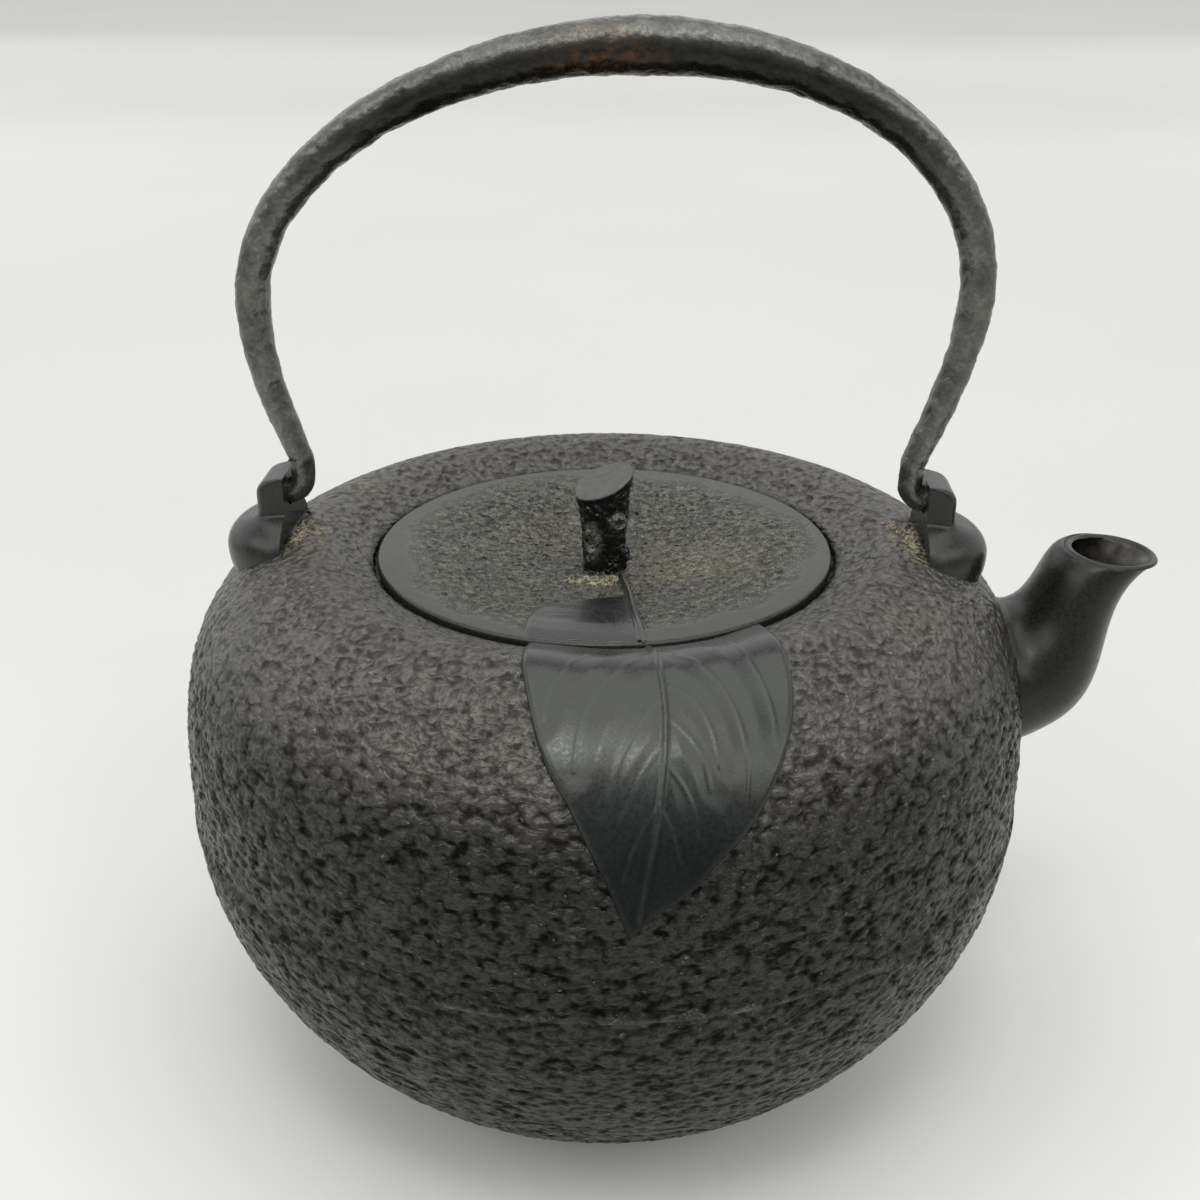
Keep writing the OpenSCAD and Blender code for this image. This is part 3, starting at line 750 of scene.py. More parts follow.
def makeSpout():
    s = spoutShape
    belly, lip, n = b["bellyRadius"], s["lipWall"], s["around"]
    tipX, heelZ = belly + s["reach"], s["tip"] + s["rise"]
    back = [[float(crownR(s["rootHigh"])), s["rootHigh"]], [belly + s["backBulge"], s["rootHigh"]],
            [belly + s["backBulge"], heelZ], [tipX - s["lipLength"], heelZ]]
    under = [[float(crownR(s["rootLow"])), s["rootLow"]], [tipX, s["rootLow"] + s["heelRise"]],
             [tipX - s["tuck"], s["tip"] - s["tuckDrop"]], [tipX, s["tip"]]]
    angle = turnsOf(n)

    def ring(t, inset, drop=0.0):
        first, second = bezierPoint(back, t), bezierPoint(under, t)
        span = np.linalg.norm(second - first)
        middle, half = (first + second) / 2, (second - first) / 2 * (1 - 2 * inset / span)
        halfWidth = (s["rootWidth"] + (s["lipWidth"] - s["rootWidth"]) * t) / 2 - inset
        flat = middle + half * np.cos(angle)[:, None]
        return np.stack([flat[:, 0], halfWidth * np.sin(angle), flat[:, 1] - drop], 1)

    def onBody(points, sink):
        reach = np.sqrt(np.maximum(crownR(points[:, 2]) ** 2 - points[:, 1] ** 2, 1)) - sink
        return np.stack([reach, points[:, 1], points[:, 2]], 1)

    # the root's small fillet, and the outer skin up to the lip
    steps = np.linspace(0, 1, s["rows"])
    rings = [onBody(ring(0.0, -0.6), s["sunk"]), onBody(ring(0.0, -0.5), 0.35)]
    rings += [ring(t, -0.35 * max(0.0, 1 - t / 0.1) ** 2) for t in steps[1:-1]]
    # rounded lip, then the inner skin down into the body
    rings += [ring(1.0, lip / 2 * (1 - math.cos(turn)), lip * 0.55 * (1 - math.sin(turn)))
              for turn in np.linspace(0, math.pi, 9)[1:-1]]
    inner = [ring(t, s["rootWall"] + (lip - s["rootWall"]) * t) for t in steps[::-1][1:]]
    inner[-1] = onBody(inner[-1], s["sunk"])
    points = np.vstack(rings + inner)
    points[:, 2] += b["bellyHeight"]
    total = len(rings) + len(inner)
    faces = []
    for i in range(total):
        faces += bandFaces(i * n, n, ((i + 1) % total) * n, n)
    piece = outward(meshObject("pouringSpout", points, faces))
    row = np.arange(len(points)) // n
    storeValues(piece, "inside", row >= len(rings))
    # the rows just below the lip's edge take wear and a painted highlight
    storeValues(piece, "ridgeWearAndHighlight", ((row >= len(rings) - 6) & (row < len(rings) - 1)) * 0.55)
    storeValues(piece, "hollow", np.zeros(len(points)))
    return piece


finishPiece(makeSpout(), spoutSkin, "kettle", ["spout"])


# the ears

earShape = {"inner": 62.4, "eyeHeight": 122.496, "stemThick": 5.6, "stemWidth": 11.6, "stemTop": 4.3,
            "topRound": 3.4, "topSlant": 4.2, "chamfer": 1.1, "bossRadius": 13.1, "bossDrop": 10.3,
            "bossUp": 8.0, "bossDown": 14.0, "eyeRadius": 2.8, "sunk": 1.2, "voxel": 0.36, "smoothing": 7}


def fromWork(work, name):
    mesh = bpy.data.meshes.new(name)
    work.to_mesh(mesh)
    work.free()
    return linked(bpy.data.objects.new(name, mesh))


def cutWith(piece, name, build):
    # takes away the solid that build puts into an empty bmesh
    work = bmesh.new()
    build(work)
    cutter = fromWork(work, name)
    modifier = piece.modifiers.new(name, "BOOLEAN")
    modifier.operation, modifier.solver, modifier.object = "DIFFERENCE", "EXACT", cutter
    takeResult(piece)
    bpy.data.objects.remove(cutter)


def stackRings(work, rings):
    # a solid through rings of points in millimetres, with both ends closed
    rings = [[work.verts.new([c * mm for c in point]) for point in ring] for ring in rings]
    count = len(rings[0])
    for low, high in zip(rings, rings[1:]):
        for k in range(count):
            work.faces.new((low[k], low[(k + 1) % count], high[(k + 1) % count], high[k]))
    work.faces.new(rings[-1])
    work.faces.new(rings[0][::-1])


def makeEar(side):
    e = earShape
    inner, eye = e["inner"], e["eyeHeight"]
    bossZ, top = eye - e["bossDrop"], eye + e["stemTop"]
    work = bmesh.new()
    ball = bmesh.ops.create_uvsphere(work, u_segments=64, v_segments=48, radius=1.0)
    for vertex in ball["verts"]:
        up = e["bossUp"] if vertex.co.z > 0 else e["bossDown"]
        wide = e["bossRadius"] * mm
        vertex.co = Vector((inner * mm + vertex.co.x * wide, vertex.co.y * wide,
                            (bossZ + vertex.co.z * up) * mm))
    # the stem reaches inward past the flat face, which is cut afterwards, and spreads into the boss
    rings = []
    for z in np.linspace(bossZ - 3, top, 40):
        spread = np.clip((eye - 2.5 - z) / 8.0, 0, 1) ** 2
        cap = np.clip((z - top + e["topRound"]) / e["topRound"], 0, 1)
        out = e["stemThick"] + 4.5 * spread - e["topSlant"] * (1 - math.sqrt(1 - cap ** 2))
        half = e["stemWidth"] / 2 + 3.5 * spread
        cut = min(e["chamfer"], out * 0.4)
        outline = [(-6, -half), (out - cut, -half), (out, -half + cut), (out, half - cut), (out - cut, half),
                   (-6, half)]
        rings.append([(inner + x, y, z) for x, y in outline])
    stackRings(work, rings)
    piece = fromWork(work, "ear" + side)
    remesh = piece.modifiers.new("voxels", "REMESH")
    remesh.mode, remesh.voxel_size = "VOXEL", e["voxel"] * mm
    smooth = piece.modifiers.new("soften", "SMOOTH")
    smooth.factor, smooth.iterations = 0.5, e["smoothing"]
    takeResult(piece)

    def pastFace(work):
        made = bmesh.ops.create_cube(work, size=1.0)
        bmesh.ops.scale(work, vec=(0.03, 0.06, 0.06), verts=made["verts"])
        bmesh.ops.translate(work, vec=((inner - 15) * mm, 0.0, 0.11), verts=made["verts"])

    def eyeBore(work):
        made = bmesh.ops.create_cone(work, cap_ends=True, segments=48, radius1=e["eyeRadius"] * mm,
                                     radius2=e["eyeRadius"] * mm, depth=0.03)
        moved = Matrix.Translation(Vector(((inner + 3) * mm, 0, eye * mm)))
        bmesh.ops.transform(work, matrix=moved @ Matrix.Rotation(math.pi / 2, 4, "Y"), verts=made["verts"])

    def insideBody(work):
        # what lies deeper than a little below the body's surface is cut off
        rows = shoulderLine(60)
        turn = np.linspace(0, fullTurn, 97)[:-1]
        stackRings(work, [[((r - e["sunk"]) * math.cos(a), (r - e["sunk"]) * math.sin(a), z - e["sunk"])
                           for a in turn] for r, z in rows[rows[:, 1] > 80]])
        bmesh.ops.recalc_face_normals(work, faces=work.faces)

    cutWith(piece, "flatFace", pastFace)
    cutWith(piece, "eye", eyeBore)
    cutWith(piece, "bodyCut", insideBody)
    if side == "Left":
        piece.data.transform(Matrix.Diagonal((-1, 1, 1, 1)))
        outward(piece)
    piece.data.shade_smooth()
    piece.data.set_sharp_from_angle(angle=math.radians(40))
    return piece


finishPiece(makeEar("Left"), earSkin, "kettle", ["ear_left"])
finishPiece(makeEar("Right"), earSkin, "kettle", ["ear_right"])


# leaf in relief on the shoulder, drawn in a plane that leans back at 45 degrees

leafShape = {
    "left": [(-11.6, 2.0), (-11.6, -3.0), (-11, -7.1), (-9.3, -14.2), (-7.5, -20.6), (-5.5, -24.9),
             (-3, -28.6), (-0.7, -33.1), (1.5, -37), (4.2, -41.7), (6.4, -46.5), (7.1, -48.2)],
    "right": [(29.6, 9.5), (30.5, 4.6), (31.8, 1.5), (32.7, -2.1), (33.3, -8.2), (32.9, -13.8), (31.6, -19.6),
              (29.3, -25.8), (27, -29.6), (24.5, -33.2), (21.2, -36.1), (19.3, -38.7), (16, -41.8),
              (12.3, -43.8), (9.1, -46.4), (7.1, -48.2)],
    "midrib": [(9.2, 2.0), (10.9, -3.6), (11.8, -9.3), (12.3, -13.7), (12.4, -19.5), (12, -24.4),
               (11.4, -30.2), (10, -37.7), (8.6, -44.9)],
    "veins": [
        [(10.2, -1.5), (13.5, -2.6), (16.8, -3.4), (20.7, -7.4), (23.3, -12.2), (24.9, -17.5), (25.6, -23.1),
         (25, -28)],
        [(12.5, 0.6), (18, 3.4), (22.5, 3.2), (25.9, -2.8), (28.5, -8.7), (29.8, -14.1), (29.7, -18.2)],
        [(12, -9), (15, -9.7), (17.9, -12.6), (20, -17), (21, -22.5)],
        [(12.4, -14.4), (15.6, -16.9), (18.4, -20.7), (19.4, -26)],
        [(12.2, -22), (15, -25.2), (17.2, -29.5), (17.6, -33)],
        [(11.6, -29), (13.8, -32.5), (15, -36.5)],
        [(10.4, -2.2), (5.6, -5), (1.8, -9.7), (-0.7, -14.6), (-1.6, -19.4), (-1.8, -24)],
        [(9.4, 0.4), (2, -0.6), (-3.5, -4.8), (-6.5, -10.5), (-7, -15.5)],
        [(11.8, -11.2), (8.1, -16.1), (6, -20.4), (4.5, -24.3), (3.4, -28.5)],
        [(12.2, -19), (9.2, -23.2), (7.1, -27.7), (5.4, -31.6)],
        [(11.6, -28.6), (9, -32), (7, -36.2), (6.2, -39.5)]],
    "thick": 0.45, "quilt": 0.48, "quiltWidth": 4.4, "ribHigh": 0.5, "ribWidth": 0.36, "veinHigh": 0.12,
    "veinWidth": 0.25, "edgeWidth": 1.3, "sunk": 0.5, "rows": 170, "columns": 140,
}


def distanceTo(line, x, y):
    line = np.asarray(line, float)
    best = np.full(np.shape(x), 1e9)
    for (ax, ay), (bx, by) in zip(line[:-1], line[1:]):
        dx, dy = bx - ax, by - ay
        t = np.clip(((x - ax) * dx + (y - ay) * dy) / (dx * dx + dy * dy + 1e-12), 0, 1)
        best = np.minimum(best, np.hypot(x - ax - t * dx, y - ay - t * dy))
    return best


def softLine(line, count):
    # a polyline with its corners rounded
    line = np.asarray(line, float)
    for _ in range(3):
        first, second = line[:-1] * 0.75 + line[1:] * 0.25, line[:-1] * 0.25 + line[1:] * 0.75
        inner = np.stack([first, second], 1).reshape(-1, line.shape[1])
        line = np.vstack([line[:1], inner[1:-1], line[-1:]])
    return lineAt(line, np.linspace(0, 1, count))


def veinDistance(shape, x, y):
    return np.minimum.reduce([distanceTo(softLine(line, 30), x, y) for line in shape["veins"]])


def sheetPlane(shape):
    # both side lines, and a grid of points between them
    left, right = softLine(shape["left"], shape["rows"]), softLine(shape["right"], shape["rows"])
    share = np.linspace(0, 1, shape["columns"])[None, :, None]
    return left, right, left[:, None] * (1 - share) + right[:, None] * share


def borderOf(shape, edge):
    # 0 at the outline, then a rounded rise to 1
    return np.sqrt(1 - (1 - np.clip(edge / shape["edgeWidth"], 0, 1)) ** 2)


def sheetFaces(shape, flipTop):
    # a top and a bottom grid of points, closed round their border
    rows, columns = shape["rows"], shape["columns"]
    count = rows * columns
    faces = []
    for start, flip in ((0, flipTop), (count, not flipTop)):
        corners = [start + i * columns + j for i in range(rows - 1) for j in range(columns - 1)]
        quads = [(a, a + 1, a + columns + 1, a + columns) for a in corners]
        faces += [face[::-1] for face in quads] if flip else quads
    ring = ([(0, j) for j in range(columns)] + [(i, columns - 1) for i in range(1, rows)]
            + [(rows - 1, j) for j in range(columns - 2, -1, -1)] + [(i, 0) for i in range(rows - 2, 0, -1)])
    ring = [i * columns + j for i, j in ring]
    return faces + [(p, q, q + count, p + count) for p, q in zip(ring, ring[1:] + ring[:1])]


def reliefPiece(name, points, faces, hollow, ridgeWearAndHighlight):
    piece = meshObject(name, np.vstack(points), faces)
    storeValues(piece, "hollow", np.concatenate(hollow))
    storeValues(piece, "ridgeWearAndHighlight", np.concatenate(ridgeWearAndHighlight))
    outward(piece, weld=2e-6)
    piece.data.shade_smooth()
    return piece


def leafPlaneToBody(x, w):
    # where the leaf's drawing plane meets the body's front, as (x, y, height above the belly line)
    low = -np.sqrt(np.maximum(b["bellyRadius"] ** 2 - x ** 2, 0.01)) + 1e-4
    high = np.full_like(low, -20.0)
    goal = math.sqrt(2) * w
    for _ in range(50):
        middle = (low + high) / 2
        over = middle + shoulderZ(np.maximum(np.hypot(x, middle), b["mouthRadius"])) > goal
        high, low = np.where(over, middle, high), np.where(over, low, middle)
    y = (low + high) / 2
    short = np.maximum(b["mouthRadius"] / np.maximum(np.hypot(x, y), 1e-6), 1.0)
    x, y = x * short, y * short
    return x, y, shoulderZ(np.maximum(np.hypot(x, y), b["mouthRadius"]))


def bodyNormal(x, y):
    radius = np.hypot(x, y)
    step = 0.05
    before = np.maximum(radius - step, b["mouthRadius"])
    slope = (shoulderZ(radius + step) - shoulderZ(before)) / (radius + step - before)
    normal = np.stack([-slope * x / radius, -slope * y / radius, np.ones_like(x)], -1)
    return normal / np.linalg.norm(normal, axis=-1, keepdims=True)


def makeLeaf():
    s = leafShape
    left, right, plane = sheetPlane(s)
    # the top row follows the mouth's edge
    arris = (mouthHeight - np.sqrt(b["mouthRadius"] ** 2 - plane[0, :, 0] ** 2)) / math.sqrt(2)
    fade = np.clip(1 - np.linspace(0, 1, s["rows"]) / 0.12, 0, 1)[:, None]
    plane[:, :, 1] += (arris - plane[0, :, 1])[None, :] * fade
    x, w = plane[..., 0], plane[..., 1]
    edge = distanceTo(np.vstack([left, right[::-1]]), x, w)
    rib, vein = distanceTo(softLine(s["midrib"], 60), x, w), veinDistance(s, x, w)
    ribRidge, veinRidge = hump(rib, 0, s["ribWidth"]), hump(vein, 0, s["veinWidth"])
    quilt = 1 - hump(np.minimum(vein, rib), 0, s["quiltWidth"])
    border = borderOf(s, edge)
    height = (s["quilt"] * quilt + s["ribHigh"] * ribRidge + s["veinHigh"] * veinRidge) * border
    # painted shade beside the midrib and the veins; wear and painted highlight on the ribs, the veins and the
    # rim by the edge
    hollow = (hump(rib, 1.1, 0.35) * 0.4 + hump(vein, 0.8, 0.3) * 0.12) * 0.8
    ridgeWearAndHighlight = np.clip(ribRidge + 0.8 * veinRidge + 0.5 * hump(edge, 0.7, 0.35), 0, 1) * 0.6
    bodyX, bodyY, bodyZ = leafPlaneToBody(x, w)
    normal = bodyNormal(bodyX, bodyY)
    base = np.stack([bodyX, bodyY, bodyZ + b["bellyHeight"]], -1)
    top = base + normal * (-0.25 + (s["thick"] + 0.25) * border + height)[..., None]
    bottom = base - normal * s["sunk"]
    return reliefPiece("leafRelief", [top.reshape(-1, 3), bottom.reshape(-1, 3)], sheetFaces(s, False),
                       [hollow.ravel(), np.ones(x.size)], [ridgeWearAndHighlight.ravel(), np.zeros(x.size)])


finishPiece(makeLeaf(), leafSkin, "kettle", ["leaf_relief"])


# lid: a smooth band, a pitted dish, and the leaf's lobe and stalk

lidShape = {"radius": 44.9, "top": 111.9, "edgeThick": 2.5, "round": 0.6, "band": 7.5, "dish": 4.6,
            "thick": 2.8, "skirtRadius": 39.2, "skirtThick": 2.6, "skirtHigh": 8.0, "seat": 7.4, "hole": 2.05,
            "count": 480, "pitDepth": 0.5}
dishRadius = lidShape["radius"] - lidShape["band"]


def dishZ(r):
    share = np.clip((np.asarray(r, float) - lidShape["seat"]) / (dishRadius - lidShape["seat"]), 0, 1)
    return lidShape["top"] - np.where(r > dishRadius, 0.0, lidShape["dish"] * (1 - share ** 2) ** 1.5)


def makeLid():
    s = lidShape
    n, few, edge = s["count"], s["count"] // 4, s["round"]
    radius, top, skirt, hole = s["radius"], s["top"], s["skirtRadius"], s["hole"]
    floor, ledge = top - s["dish"], top - s["edgeThick"]
    low, inner = ledge - s["skirtHigh"], skirt - s["skirtThick"]
    rings = [(hole, floor, few), (4.0, floor, few)]
    rings += [(r, float(dishZ(r)), n) for r in np.linspace(5.0, dishRadius, 66)]
    rings += [(r, top, n) for r in np.linspace(dishRadius, radius - edge, 14)[1:]]
    rings += [(radius - edge * (1 - math.sin(a)), top - edge * (1 - math.cos(a)), n)
              for a in np.linspace(0, math.pi / 2, 7)[1:]]
    rings += [(radius, ledge + 0.3, n), (radius - 0.3, ledge, few), (skirt + 0.3, ledge, few),
              (skirt, ledge - 0.3, few), (skirt, low + 0.4, few), (skirt - 0.4, low, few),
              (inner + 0.4, low, few), (inner, low + 0.4, few),
              (inner, float(dishZ(inner)) - s["thick"], few)]
    rings += [(r, float(dishZ(r)) - s["thick"], few) for r in np.linspace(inner, s["seat"], 20)[1:]]
    rings += [(hole, floor - s["thick"], few)]
    piece = spinRings("dishedLid", rings, True)
    co = pointsOf(piece)
    away, turn = np.hypot(co[:, 0], co[:, 1]), np.arctan2(co[:, 1], co[:, 0])
    # the pitted skin ends in a ragged line, and stays off the lid's underside
    ragged = 1.4 * np.sin(3 * turn + 1) + 0.9 * np.sin(7 * turn) + 0.6 * np.sin(17 * turn + 2)
    upper = co[:, 2] > floor - 0.2
    storeValues(piece, "pitted", np.clip((dishRadius + 4.0 + ragged - away) / 5.0, 0, 1) * upper * (away > 3))
    return outward(piece)


lid = applyTree(makeLid(), pittedSkin, {"Depth": lidShape["pitDepth"], "Material": lidSkin})
finishPiece(lid, lidSkin, "lid_body", ["lid"])

lobeShape = {
    "left": [(-12.6, -42.9), (-12.8, -38.1), (-12.2, -31.2), (-10.4, -25.4), (-7.4, -21.2), (-3.2, -18.4),
             (4.6, -15.8)],
    "right": [(8.2, -43.9), (7.5, -38), (6.9, -34.3), (6.2, -25), (5.4, -18.5), (4.6, -15.8)],
    "stalk": [(8.3, -44.0), (7.6, -38.5), (6.9, -33.6), (6.1, -24), (5.2, -13.5), (3.4, -5.4)],
    "veins": [[(7, -36), (2, -32), (-4, -30.5), (-9, -31.5)], [(6.5, -28), (2, -24), (-3, -22), (-7, -22.5)]],
    "thick": 0.16, "quilt": 0.22, "quiltWidth": 4.0, "veinHigh": 0.06, "veinWidth": 0.5, "edgeWidth": 1.2,
    "sunk": 0.5, "stalkWidth": 0.8, "stalkHigh": 0.5, "stalkRows": 70, "stalkAround": 16, "rows": 80,
    "columns": 70,
}


def makeLobe():
    s = lobeShape
    left, right, plane = sheetPlane(s)
    limit = lidShape["radius"] - lidShape["round"] - 0.1
    radius = np.hypot(plane[..., 0], plane[..., 1])
    scale = np.minimum(1, limit / radius)
    x, y = plane[..., 0] * scale, plane[..., 1] * scale
    edge = np.minimum(distanceTo(left, x, y), distanceTo(np.array([left[-1], right[-1]]), x, y))
    vein = veinDistance(s, x, y)
    border = borderOf(s, edge)
    quilt = s["quilt"] * (1 - hump(vein, 0, s["quiltWidth"])) + s["veinHigh"] * hump(vein, 0, s["veinWidth"])
    rim = np.clip((limit - radius) / 3.5, 0.02, 1)
    height = -0.2 + (0.2 + s["thick"] * rim) * border + quilt * border * rim
    level = dishZ(np.hypot(x, y))
    points = [np.stack([x, y, z], -1).reshape(-1, 3) for z in (level + height, level - s["sunk"])]
    faces = sheetFaces(s, True)
    # the stalk is a half-round bar that follows the dish
    line = softLine(s["stalk"], s["stalkRows"])
    line = line * np.minimum(1, limit / np.hypot(line[:, 0], line[:, 1]))[:, None]
    step = stepsAlong(line)
    n = s["stalkAround"]
    turn, start, end = turnsOf(n), 2 * x.size, 2 * x.size + (len(line) - 1) * n
    for p, across, t in zip(line, np.stack([step[:, 1], -step[:, 0]], 1), np.linspace(0, 1, len(line))):
        over = p + across * s["stalkWidth"] * (1 - 0.25 * t) * np.cos(turn)[:, None]
        level = dishZ(np.hypot(over[:, 0], over[:, 1])) * 0.5 + dishZ(np.hypot(*p)) * 0.5
        near = float(np.clip((limit - np.hypot(*p)) / 6, 0, 1))
        rise = np.maximum(np.sin(turn), -0.4) * s["stalkHigh"] * (0.35 + 0.65 * near)
        points.append(np.stack([over[:, 0], over[:, 1], level + rise + 0.1 + 0.1 * near], 1))
    for i in range(start, end, n):
        faces += bandFaces(i, n, i + n, n)
    faces += [tuple(range(start, start + n)), tuple(range(end + n - 1, end - 1, -1))]
    # painted shade along the veins, round the edge and on the stalk's underside; painted highlight on the
    # stalk's top and near the edge
    hollow = hump(vein, 0.9, 0.35) * 0.3 + hump(edge, 0, 0.35)
    stalkUnderShade = np.tile(np.clip(-np.sin(turn) + 0.35, 0, 1), len(line))
    stalkTopHighlight = np.tile(np.clip(np.sin(turn), 0, 1) ** 3 * 0.3, len(line))
    return reliefPiece("leafLobe", points, faces, [hollow.ravel(), np.ones(x.size), stalkUnderShade],
                       [hump(edge, 0.9, 0.3).ravel() * 0.25, np.zeros(x.size), stalkTopHighlight])


finishPiece(makeLobe(), leafSkin, "lid_body", ["lid_leaf"])


# knob: a cut twig with two knots

# each knot: its centre above the foot, its size, how far it stands out and how tall it is for its width;
# the lacquer is rubbed off the first two
knobShape = {"foot": 4.75, "flare": 1.25, "footHeight": 107.3, "height": 18.2, "slopeX": 0.364,
             "slopeY": 0.226, "tang": 2.0, "peen": 1.2, "washer": 1.2, "barkDepth": 1.0, "barkSize": 3.2,
             "around": 144, "rows": 110,
             "knots": [(2.9, -4.2, 10.9, 1.8, 1.2, 1.0), (-2.3, -4.0, 6.6, 1.5, 0.9, 2.0),
                       (5.0, -1.8, 3.4, 1.4, 0.7, 1.0)], "rubbedKnots": 2}


def barkTree():
    # long folds in the bark, over slow swellings
    tree, given, place = newTree("barkSkin", [("Bark Size", "Float", 2.3), ("Depth", "Float", 0.7)])
    stretched = vectorOf("MULTIPLY", place, (1 / mm, 1 / mm, 0.6 / mm))
    lump = rawNoise(stretched, mathOf("DIVIDE", 1.0, given["Bark Size"]), 3.0, 0.6, 0.8)
    crease = rangeOf(mathOf("ABSOLUTE", timesPlus(lump, 2.0, -1.0)), 0.0, 0.22, 1.0, 0.0)
    wide = rangeOf(rawNoise(stretched, 0.25, 1.0), 0.3, 0.7, 0.5, 0.0)
    amount = times(timesPlus(crease, 0.5, wide), named(tree, "bark"))
    return finishTree(tree, sunk(given["Geometry"], times(amount, times(given["Depth"], mm))), given)


def knotDistance(knot, x, y, z):
    return np.sqrt((x - knot[0]) ** 2 + (y - knot[1]) ** 2 + ((z - knot[2]) / knot[5]) ** 2)


def makeKnob():
    s = knobShape
    n, foot, tang, peen = s["around"], s["footHeight"], s["tang"], s["peen"]
    cosine, sine = np.cos(turnsOf(n)), np.sin(turnsOf(n))
    under = foot - lidShape["thick"] - s["washer"]
    # each ring holds its radius, its height, and how much of cut face and of bark it shows
    rings = [(r, z, 0.0, 0.0) for r, z in [
        (tang - 0.3, under - peen), (tang, under - peen + 0.1), (tang + peen, under - 0.15),
        (tang + peen, under), (tang, under), (tang, foot - 0.8), (s["foot"] - 0.9, foot - 0.8)]]

    def topOver(radius):
        return s["height"] + s["slopeX"] * radius * cosine + s["slopeY"] * radius * sine

    for t in np.linspace(0, 1, s["rows"]):
        radius = s["foot"] + s["flare"] * t ** 2.6
        top = topOver(radius)
        z = top * t
        push = np.zeros(n)
        for knot in s["knots"]:
            d = knotDistance(knot, radius * cosine, radius * sine, z)
            push += knot[4] * (hump(d, 1.1, knot[3] * 0.5) - 0.25 * hump(d, 0, 0.6))
        rim = np.clip((top - z) / 0.3, 0, 1)
        edged = radius - 0.2 * (1 - np.sqrt(rim)) + push * rim
        rings.append((edged, foot + z, 0.0, np.clip((top - z) / 1.2, 0.1, 1)))
    for share in (0.93, 0.8, 0.6, 0.4, 0.2):
        r = (radius - 0.2) * share
        rings.append((r, foot + topOver(r), 1.0, 0.12))
    r, z, cut, bark = (np.concatenate([np.broadcast_to(ring[k], n) for ring in rings]) for k in range(4))
    around = np.tile(cosine, len(rings)), np.tile(sine, len(rings))
    points = np.vstack([[0, 0, under - peen], np.stack([r * around[0], r * around[1], z], 1),
                        [0, 0, foot + s["height"]]])
    starts = range(1, 1 + n * len(rings), n)
    faces = [(0, 1 + (k + 1) % n, 1 + k) for k in range(n)]
    for a, c in zip(starts, starts[1:]):
        faces += bandFaces(a, n, c, n)
    faces += [(len(points) - 1, starts[-1] + k, starts[-1] + (k + 1) % n) for k in range(n)]
    piece = meshObject("twigKnob", points, faces)
    x, y, above = points[:, 0], points[:, 1], points[:, 2] - foot
    rubbed = [np.clip(1 - (knotDistance(knot, x, y, above) - 1.2) / 1.4, 0, 1)
              for knot in s["knots"][:s["rubbedKnots"]]]
    storeValues(piece, "cut", np.concatenate([[0.0], cut, [1.0]]))
    storeValues(piece, "bark", np.concatenate([[0.0], bark, [0.1]]))
    storeValues(piece, "knot", np.maximum.reduce(rubbed))
    return outward(piece)


knob = applyTree(makeKnob(), barkTree(), {"Bark Size": knobShape["barkSize"], "Depth": knobShape["barkDepth"],
                                          "Material": lacqueredTwig})
finishPiece(knob, lacqueredTwig, "lid_body", ["knob"])


# crusts of boiled-out water scale, at the knob's foot and inside the ears

def crustTree():
    # a lumpy mound, strewn with small grains
    tree, given, place = newTree("scaleCrust", [
        ("Grain", "Float", 0.5), ("Count", "Float", 1.0), ("Seed", "Int", 0)])
    seed = {"Seed": given["Seed"]}
    dots = addNode(tree, "GeometryNodeDistributePointsOnFaces", {
        "Mesh": given["Geometry"], "Density": given["Count"], **seed})
    ball = addNode(tree, "GeometryNodeMeshIcoSphere", {"Radius": mm, "Subdivisions": 1}).outputs[0]
    wide = addNode(tree, "FunctionNodeRandomValue", {2: 0.35, 3: 1.0, **seed}, data_type="FLOAT").outputs[1]
    turn = addNode(tree, "FunctionNodeRandomValue", {0: (0, 0, 0), 1: (3, 3, 3), **seed},
                   data_type="FLOAT_VECTOR").outputs[0]
    grains = addNode(tree, "GeometryNodeInstanceOnPoints", {
        "Points": dots.outputs[0], "Instance": ball, "Rotation": turn, "Scale": times(wide, given["Grain"])})
    mound = sunk(given["Geometry"], times(rawNoise(inMillimetres(place), 0.7, 3.0), 0.5 * mm))
    both = addNode(tree, "GeometryNodeJoinGeometry", {0: mound})
    plug(both, {0: grains.outputs[0]})
    return finishTree(tree, both.outputs[0], given)


def makeMound(name, spots, height):
    # low lens-shaped mounds: (x, y, half length, half width, turn, thickness)
    around, rows = crustShape["around"], crustShape["rows"]
    points, faces = [], []
    for x, y, long, wide, turn, thick in spots:
        start = len(points)
        points.append((x, y, height(x, y) + thick))
        for i in range(1, rows + 1):
            share = i / rows
            for k in range(around):
                a = k / around * fullTurn
                ragged = 1 + 0.16 * math.sin(3 * a + x) + 0.1 * math.sin(7 * a + y)
                u, v = math.cos(a) * long * share * ragged, math.sin(a) * wide * share * ragged
                px = x + u * math.cos(turn) - v * math.sin(turn)
                py = y + u * math.sin(turn) + v * math.cos(turn)
                points.append((px, py, height(px, py) + thick * (1 - share ** 2) - 0.3 * share ** 6))
        under = len(points)
        points.append((x, y, height(x, y) - 0.6))
        last = under - around
        for k in range(around):
            following = (k + 1) % around
            faces.append((start, start + 1 + k, start + 1 + following))
            faces.append((under, last + following, last + k))
        for first in range(start + 1, last, around):
            faces += bandFaces(first, around, first + around, around)
    return outward(meshObject(name, points, faces))


